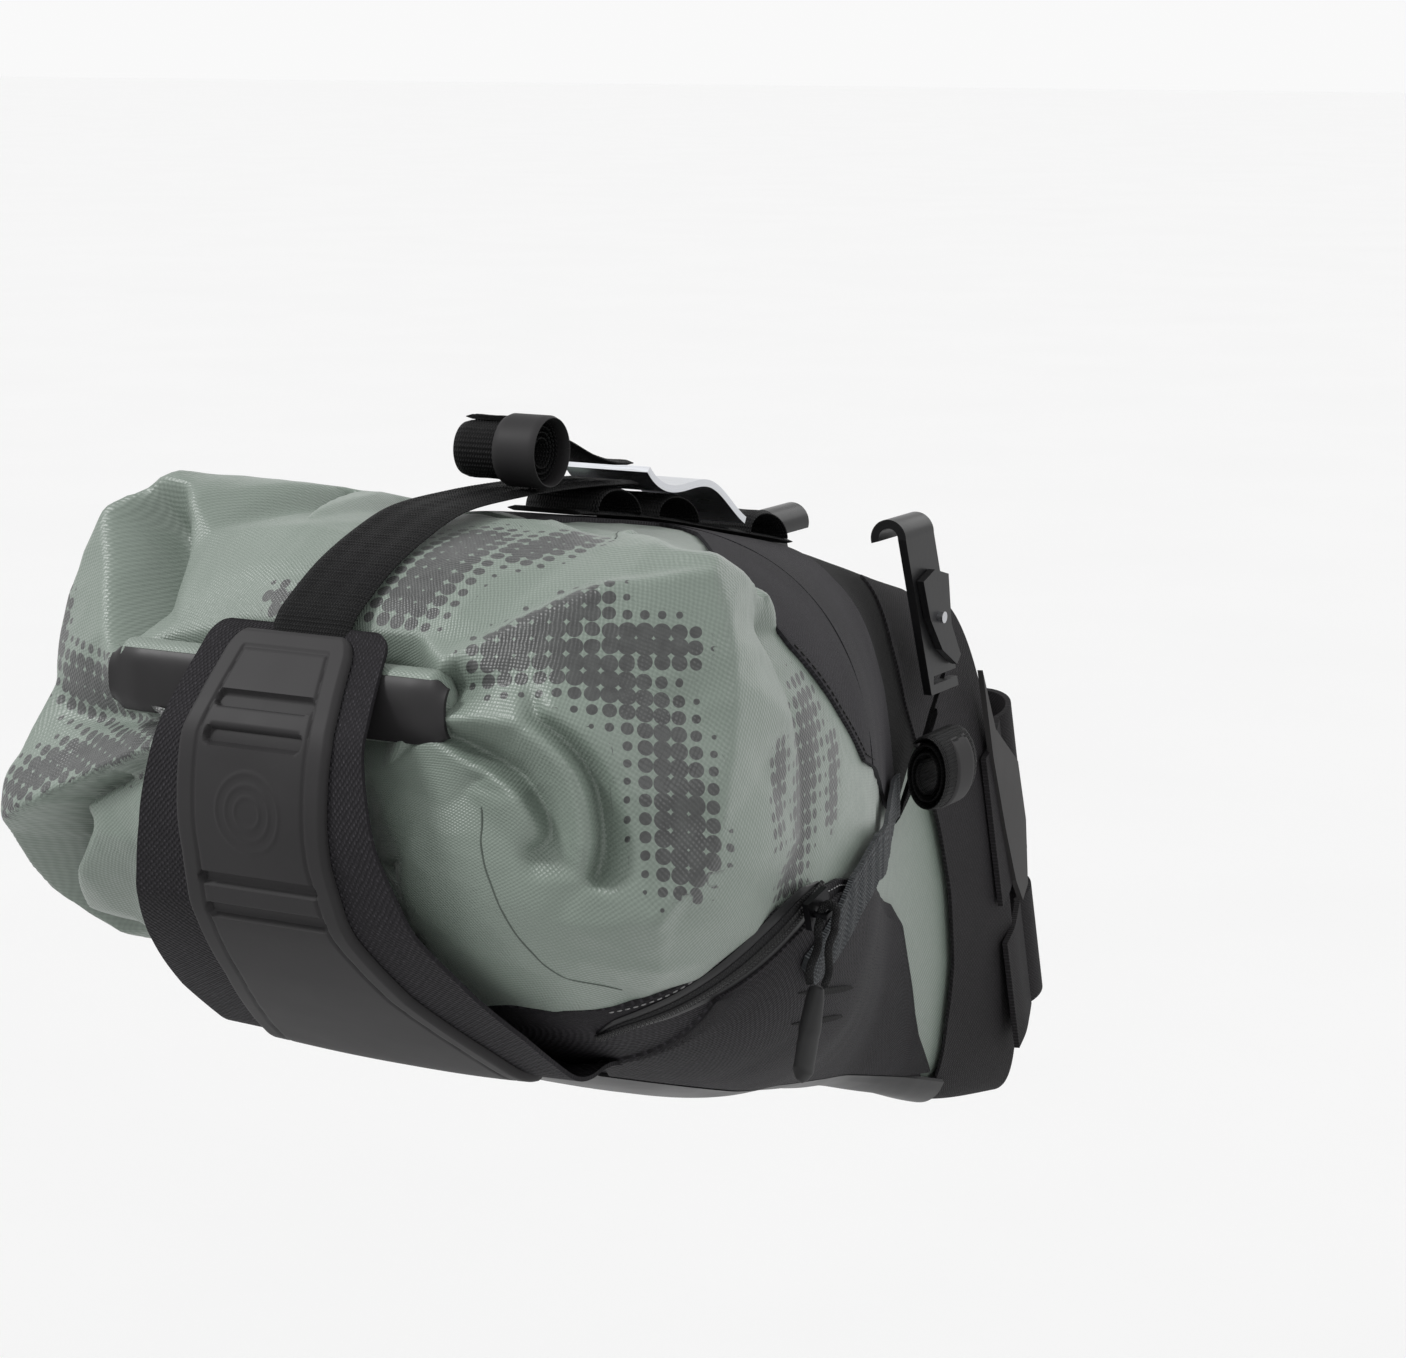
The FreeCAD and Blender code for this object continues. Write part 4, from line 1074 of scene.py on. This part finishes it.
def swept_tube(name, path, radius, material, body, slot, replaces=(), braid=False, ring=14):
    """Round tube along a line of points; braid gives it crossing strands."""
    path = np.asarray(path, float)
    moved = np.linalg.norm(np.diff(path, axis=0), axis=1) > 0.02
    path = path[np.concatenate([[True], moved])]
    tangent = np.gradient(path, axis=0)
    tangent /= np.maximum(np.linalg.norm(tangent, axis=1, keepdims=True), 1e-9)
    normal = np.zeros_like(path)
    normal[0] = np.cross(tangent[0], (0.3, 0.9, 0.2))
    normal[0] /= np.linalg.norm(normal[0])
    for i in range(1, len(path)):
        n = normal[i - 1] - tangent[i] * (normal[i - 1] @ tangent[i])
        normal[i] = n / np.linalg.norm(n)
    other = np.cross(tangent, normal)
    turn = np.linspace(0, 2 * math.pi, ring, endpoint=False)
    r = np.full((len(path), ring), float(radius))
    if braid:
        run = run_length(path)
        r += 0.12 * np.sin(turn * 3 + run[:, None] * 3.2) * np.sin(turn * 3 - run[:, None] * 3.2)
    grid = path[:, None] + r[..., None] * (normal[:, None] * np.cos(turn)[None, :, None]
                                           + other[:, None] * np.sin(turn)[None, :, None])
    return tube_piece(name, grid, material, body, slot, replaces)


def stitch_row(name, points, normals, material, body, slot, length=2.2, gap=1.0, radius=0.28):
    """A row of short raised stitches along a line."""
    points = np.asarray(points, float)
    run = run_length(points)
    verts, faces = [], []
    ring = 6
    turn = np.linspace(0, 2 * math.pi, ring, endpoint=False)
    at = 0.5
    while at + length < run[-1]:
        share = np.linspace(0, 1, 5)
        where = at + share * length
        centre = sample(points, run, where)
        n = sample(normals, run, where)
        t = unit(centre[-1] - centre[0])
        side = np.cross(n, t)
        size = radius * np.array([0.5, 0.95, 1.0, 0.95, 0.5])
        start = len(verts)
        for c, up, across, k in zip(centre, n, side, size):
            verts += list(c + up * radius * 0.4 + k * (np.cos(turn)[:, None] * across + np.sin(turn)[:,
                                                                                                     None] * up))
        for i in range(4):
            for j in range(ring):
                k = (j + 1) % ring
                faces.append([start + i * ring + j, start + i * ring + k,
                              start + (i + 1) * ring + k, start + (i + 1) * ring + j])
        faces.append([start + j for j in range(ring)][::-1])
        faces.append([start + 4 * ring + j for j in range(ring)])
        at += length + gap
    obj = add_mesh(name, verts, faces, material)
    clean_faces(obj)
    return finish_piece(obj, body, slot)


def trim():
    """Stitching, welded seams, pocket slots and the bar tack."""
    def both_sides(name, y, z, offset, material, **kwargs):
        points, n = flank(y, z, offset), surface_normals(y, z)
        for side, label in ((1, "right"), (-1, "left")):
            flip = np.array([side, 1, 1])
            stitch_row(f"{label}_{name}", points * flip, n * flip, material, "holster", "black_webbing",
                       **kwargs)

    ys = np.linspace(-404, -300, 150)
    both_sides("rim_stitch", ys, line_at(BASE_TOP, ys) - 1.6, 1.8, MATERIALS["thread"], length=1.4, gap=0.9,
               radius=0.22)
    ys = np.linspace(-330, -268, 80)
    both_sides("wing_stitch", ys, line_at(COLLAR_LOW, ys) + 2.0, 1.7, MATERIALS["dark_thread"])
    # short slots in the pocket's face, drawn as near-black strips whose colour is painted shade inside the slots
    for i, (start, stop) in enumerate((((-339, 38), (-290, 26)), ((-330, 26), (-287, 16)))):
        t = np.linspace(0, 1, 60)
        y = start[0] + (stop[0] - start[0]) * t
        z = start[1] + (stop[1] - start[1]) * t
        n = surface_normals(y, z)
        line = flank(y, z, 3.2)
        across = np.cross(n, np.gradient(line, axis=0))
        for side, label in ((1, "right"), (-1, "left")):
            flip = np.array([side, 1, 1])
            band(f"{label}_pocket_slot_{i}", line * flip, across * flip, 2.4, 0.5, MATERIALS["painted_shade"],
                 "holster",
                 "black_laminate", (), up=(side, 0, 0), rib=0.0, step=1.0, taper=[0.2, 1.1, 1.2, 1.2, 1.1,
                                                                                  0.2])
    # zigzag bar tack that holds the strap behind the tongue's top edge
    line, normal = tongue_frame(330)
    row = int(np.argmin(np.abs(line[:, 1] - 143.6)))
    width = np.linspace(-14.5, 10.0, 60)
    wave = 0.7 * np.sign(np.sin(np.arange(60) * math.pi + 0.5))
    y, z = line[row]
    tack = np.stack([width, y + normal[row, 0] * 1.5 + 0 * width, z + normal[row, 1] * 1.5 + wave * 0.6], -1)
    swept_tube("tongue_bar_tack", tack, 0.32, MATERIALS["dark_thread"], "rear_tongue", "black_webbing", (),
               ring=6)
    # welded seams down the tail of the dry bag
    mesh = bpy.data.objects["dry_bag"].data
    tree = BVHTree.FromPolygons([v.co / MM for v in mesh.vertices], [p.vertices for p in mesh.polygons])
    seams = {
        "lower_seam": [(56, -439, 106), (56, -438, 94), (61, -434, 78), (67, -424, 64), (80, -410, 54)],
        "upper_seam": [(58, -373, 163), (46, -352, 166), (40, -334, 164), (52, -328, 160)],
    }
    for name, knots in seams.items():
        line = catmull(knots, 90)
        found, facing = [], []
        for p in line:
            hit = tree.find_nearest(Vector(p))
            found.append(np.array(hit[0]))
            facing.append(np.array(hit[1]))
        found, facing = np.array(found), np.array(facing)
        for _ in range(3):
            found[1:-1] = (found[:-2] + 2 * found[1:-1] + found[2:]) / 4
        out = np.sign((facing * (found - np.array([0, -300, 95.0]))).sum(1))[:, None]
        swept_tube(name, found + facing * out * -0.1, 0.3, MATERIALS["seam"], "holster", "green_laminate",
                   (), ring=8)


# ---- the rear tongue ------------------------------------------------------------
TONGUE_LINE = [(-434, 147), (-441, 139), (-450, 128), (-456, 118), (-458, 99), (-454, 81), (-449, 70),
               (-434, 53), (-417, 38), (-396, 22), (-387, 17), (-378, 15.2), (-369, 12.9)]
PAD_END = -387.0                      # the moulding stops at the fold
TONGUE_X = -3.0
# the fold between the base and the tongue, given as both bodies and two points; pieces given this are only baked
# in place and do not bend
TONGUE_BEND = ("holster", "rear_tongue", (0, -0.380, 0.016), (0, -0.408, 0.030))
TONGUE_HALF = [(149, 28), (141, 29), (120, 33), (95, 38), (72, 45), (60, 50), (38, 57), (8, 60)]
PAD_HALF = [(146, 17), (140, 20), (120, 24), (90, 24), (70, 26), (50, 31), (30, 40), (8, 48)]
PAD_SLOTS = [(128, 31), (120, 31), (83, 38), (74, 39)]
TONGUE_CLOTH = 1.3                    # thickness
MOTIF_Z = 102.0
MOTIF_RADII = (4.0, 7.0, 10.0)


def tongue_frame(rows):
    """The tongue's line from its top edge to the base, and the outward normal along it."""
    line = catmull(TONGUE_LINE, rows)
    tangent = unit(np.gradient(line, axis=0))
    normal = np.stack([tangent[:, 1], -tangent[:, 0]], -1)
    if normal[rows // 2, 0] > 0:
        normal = -normal
    return line, normal


def raised(x, line, normal, bow, height):
    """Points of the tongue at a height above its line."""
    return np.stack([x, line[:, None, 0] + normal[:, None, 0] * height,
                     line[:, None, 1] + normal[:, None, 1] * height + bow], -1)


def tongue():
    """Cloth tongue over the tail, and the slotted rubber moulding on it."""
    rows, columns = 330, 130
    line, normal = tongue_frame(rows)
    half = np.interp(line[:, 1], *np.array(sorted(TONGUE_HALF), float).T)
    half = half - corner_trim(line[0, 1] - line[:, 1], 5.0, 5.0)
    u = np.linspace(-1, 1, columns)
    x = TONGUE_X + u[None] * half[:, None]
    # below the fold the cloth takes the round of the base it is sewn to
    w, low, high = section(PAD_END)
    bow = (high - low) / 2 * (1 - (1 - np.abs(x / w) ** POWER) ** (1 / POWER))
    bow = bow * smoothstep(-398, -372, line[:, 0])[:, None]
    outer = raised(x, line, normal, bow, np.full_like(x, TONGUE_CLOTH))
    inner = raised(x, line, normal, bow, np.zeros_like(x))
    panel = solid_from_grids("tongue_cloth", outer, inner, MATERIALS["canvas"], TONGUE_BEND,
                             "black_laminate", ("tongue_panel",))
    # moulded pad
    half = np.interp(line[:, 1], *np.array(sorted(PAD_HALF), float).T)
    shown = (line[:, 1] < 145.0) & (line[:, 0] < PAD_END)
    line, normal, half, bow = line[shown], normal[shown], half[shown], bow[shown]
    run = run_length(line)
    half = half - corner_trim(run, 4.0, 4.0)
    x = TONGUE_X + u[None] * half[:, None]
    inset = np.minimum(half[:, None] * (1 - np.abs(u))[None], run[:, None])
    height = 1.7 + 2.1 * np.sqrt(np.clip(inset / 1.6, 0, 1))
    height -= 0.5 * np.exp(-((inset - 6.5) / 0.5) ** 2)
    slot = np.zeros_like(height)
    for z, width in PAD_SLOTS:
        dz = np.abs(line[:, 1] - z)[:, None]
        dx = np.maximum(np.abs(x - TONGUE_X) - (width / 2 - 1.8), 0)
        slot = np.maximum(slot, 1 - smoothstep(1.5, 2.1, np.sqrt(dz ** 2 + dx ** 2)))
    height = height - slot * 1.9
    # generic raised motif: three nested rings
    away = np.sqrt((x - TONGUE_X) ** 2 + (line[:, None, 1] - MOTIF_Z) ** 2)
    motif = 0.0
    for radius in MOTIF_RADII:
        motif = motif + 0.28 * np.exp(-((away - radius) / 0.45) ** 2)
    height = height + motif
    solid_from_grids("tongue_moulding", raised(x, line, normal, bow, height),
                     raised(x, line, normal, bow, np.full_like(height, 1.5)), MATERIALS["pad"],
                     TONGUE_BEND, "pad_rubber", ("tongue_pad",))


# ---- the rolled mouth -------------------------------------------------------------
def closure_strip():
    """Smooth stiffener along the roll's face, with rounded ends that tuck into the ears."""
    rows, columns = 26, 120
    u = np.linspace(-1, 1, columns)
    x = -8.5 + 54.5 * u
    t = np.linspace(0, 1, rows)
    end = 1 - smoothstep(0.93, 1.0, np.abs(u)) * 0.25
    z = 129.4 + (t[:, None] - 0.5) * 17.4 * end[None]
    y = -443.6 + 2.2 * np.abs(2 * t[:, None] - 1) ** 3 + 1.2 * smoothstep(0.8, 1.0, np.abs(u))[None]
    grid = np.stack(np.broadcast_arrays(x[None], y, z), -1)
    solid_from_grids("closure_strip", grid, grid + np.array([0, 1.2, 0]), MATERIALS["stiffener"], "holster",
                     "stiffener_plastic", ("closure_stiffener_outer", "closure_stiffener_inner"))


def rolled_mouth():
    """The rolled mouth: a soft stadium bar whose ends tuck into the ears."""
    rows, ring = 90, 64
    xs = np.linspace(-64, 46, rows)
    t = np.linspace(0, 2 * math.pi, ring, endpoint=False)
    grid = np.zeros((rows, ring, 3))
    for i, xx in enumerate(xs):
        end = min(1.0, (min(xx + 64, 46 - xx) / 5.0 + 0.02)) ** 0.5
        half_t, half_h = 6.3 * end, 10.3 * end
        y = -436.2 + half_t * np.sign(np.cos(t)) * np.abs(np.cos(t)) ** 0.8
        z = 129.6 + half_h * np.sign(np.sin(t)) * np.abs(np.sin(t)) ** 0.7
        grid[i] = np.stack([np.full(ring, xx), y, z], -1)
    uv = np.stack(np.meshgrid(t * 9, xs), -1).reshape(-1, 2)
    obj = add_mesh("rolled_mouth", grid.reshape(-1, 3), tube_faces(rows, ring), MATERIALS["green"], uv)
    clean_faces(obj)
    finish_piece(obj, "holster", "green_laminate", "roll_closure")


# ---- straps round the seatpost ------------------------------------------------------
def leaned(points):
    """From the upright post's frame to the bag's frame."""
    c, s = math.cos(POST_TILT), math.sin(POST_TILT)
    p = np.asarray(points, float)
    return np.stack([p[..., 0], p[..., 1] * c - p[..., 2] * s, p[..., 1] * s + p[..., 2] * c], -1)


STRAP_REACH = 14.6                    # from the post's axis to the strap's middle
POST_STRAPS = (("upper_strap_cloth", "upper_post_strap", -8, 54, "upper_strap"),
               ("lower_strap_cloth", "lower_post_strap", -70, -24, "lower_strap"))


def post_straps():
    """Two wide straps round the post, with rounded free ends."""
    arc = np.linspace(math.radians(-25), math.radians(205), 60)
    right = catmull([(22.4, -38.0), (20.5, -27), (17.2, -16), (13.9, -6.0)], 30)
    left = catmull([(-14.0, -6.0), (-16.8, -13), (-21, -21), (-24.5, -28)], 30)
    ring = np.stack([STRAP_REACH * np.cos(arc), STRAP_REACH * np.sin(arc)], -1)
    plan = np.concatenate([right[:-1], ring, left[1:]])
    run = run_length(plan)
    at = np.linspace(0, run[-1], 170)
    line = sample(plan, run, at)
    tangent = unit(np.gradient(line, axis=0))
    normal = np.stack([tangent[:, 1], -tangent[:, 0]], -1)
    if normal[85] @ line[85] < 0:
        normal = -normal
    u = np.linspace(0, 1, 40)
    trimmed = corner_trim(run[-1] - at, 14.0, 12.0)[:, None]
    for name, node, low, high, body in POST_STRAPS:
        z = (low + trimmed) * (1 - u) + (high - trimmed) * u
        faces = []
        for height in (1.0, -1.0):
            x, y = (line[:, None, k] + normal[:, None, k] * height for k in (0, 1))
            faces.append(leaned(np.stack(np.broadcast_arrays(x, y, z), -1)))
        solid_from_grids(name, *faces, MATERIALS["strap_cloth"], body, "black_laminate", (node,))


harness_shells()
side_straps()
straps()
rail_straps()
tongue()
rolled_mouth()
closure_strip()
post_straps()
zip_pocket()
trim()


def dress_cad_nodes():
    """Give the carried-over CAD parts their finishes."""
    finishes = {
        "nose_stiffener": "plastic",
        "top_hook": "aluminium",
        "zip_slider": "dark_metal",
        "upper_strap_tab": "rubber_tab"}
    for side in ("right", "left"):
        finishes[side + "_rail_hook"] = "hook"
        finishes[side + "_hook_lever"] = "hook"
        finishes[side + "_lever_pin"] = "steel"
    for node, finish in finishes.items():
        obj = bpy.data.objects[node]
        if not obj.data.materials:
            obj.data.materials.append(MATERIALS[finish])
        for slot in obj.material_slots:
            slot.material = MATERIALS[finish]


dress_cad_nodes()


# ---- stage, light and camera ------------------------------------------------
FLOOR_HALF = 30.0
FLOOR_Z = -0.42
WORLD_STRENGTH = 0.95
LAMPS = (("key", (-1.0, -1.3, 1.5), 26.0, 0.4),      # name, place, power, size
         ("side", (1.7, -0.4, 0.9), 5.0, 0.5),
         ("front", (0.4, 1.4, 1.1), 5.0, 1.2))
LAMP_AIM = Vector((0, -0.25, 0.05))
CAMERA_PLACE = (0.5239, -1.1667, 0.3073)
CAMERA_TURN = (math.radians(79), 0, math.radians(29))
CAMERA_LENS = 87.8
SENSOR_WIDTH = 36.0


def stage():
    """Pale floor, even white surroundings, and three lamps that leave the floor alone."""
    plane = bpy.data.meshes.new("floor")
    corners = [(x * FLOOR_HALF, y * FLOOR_HALF, FLOOR_Z) for x, y in ((-1, -1), (1, -1), (1, 1), (-1, 1))]
    plane.from_pydata(corners, [], [(0, 1, 2, 3)])
    floor = bpy.data.objects.new("floor", plane)
    bpy.context.scene.collection.objects.link(floor)
    n = Nodes("floor")
    here = n.add("ShaderNodeTexCoord").outputs["Object"]
    colour = n.mix(n.noise(here, 3.0), rgb(250, 250, 250), rgb(254, 254, 254))
    plane.materials.append(n.finish(colour, 0.9))
    unlit = bpy.data.collections.new("unlit_by_lamps")
    unlit.objects.link(floor)
    unlit.collection_objects[0].light_linking.link_state = "EXCLUDE"

    world = bpy.data.worlds.new("studio")
    bpy.context.scene.world = world
    world.use_nodes = True
    background = world.node_tree.nodes["Background"]
    background.inputs["Color"].default_value = (1, 1, 1, 1)
    background.inputs["Strength"].default_value = WORLD_STRENGTH

    for name, place, energy, size in LAMPS:
        lamp = bpy.data.lights.new(name, "AREA")
        lamp.energy = energy
        lamp.size = size
        holder = bpy.data.objects.new(name, lamp)
        holder.location = place
        holder.rotation_euler = (LAMP_AIM - Vector(place)).to_track_quat("-Z", "Y").to_euler()
        holder.light_linking.receiver_collection = unlit
        bpy.context.scene.collection.objects.link(holder)


def aim_camera():
    camera = bpy.data.cameras.new("camera")
    camera.lens = CAMERA_LENS
    camera.sensor_width = SENSOR_WIDTH
    holder = bpy.data.objects.new("camera", camera)
    holder.location = CAMERA_PLACE
    holder.rotation_euler = CAMERA_TURN
    bpy.context.scene.collection.objects.link(holder)
    bpy.context.scene.camera = holder
    bpy.context.scene.view_settings.view_transform = "Standard"


stage()
aim_camera()
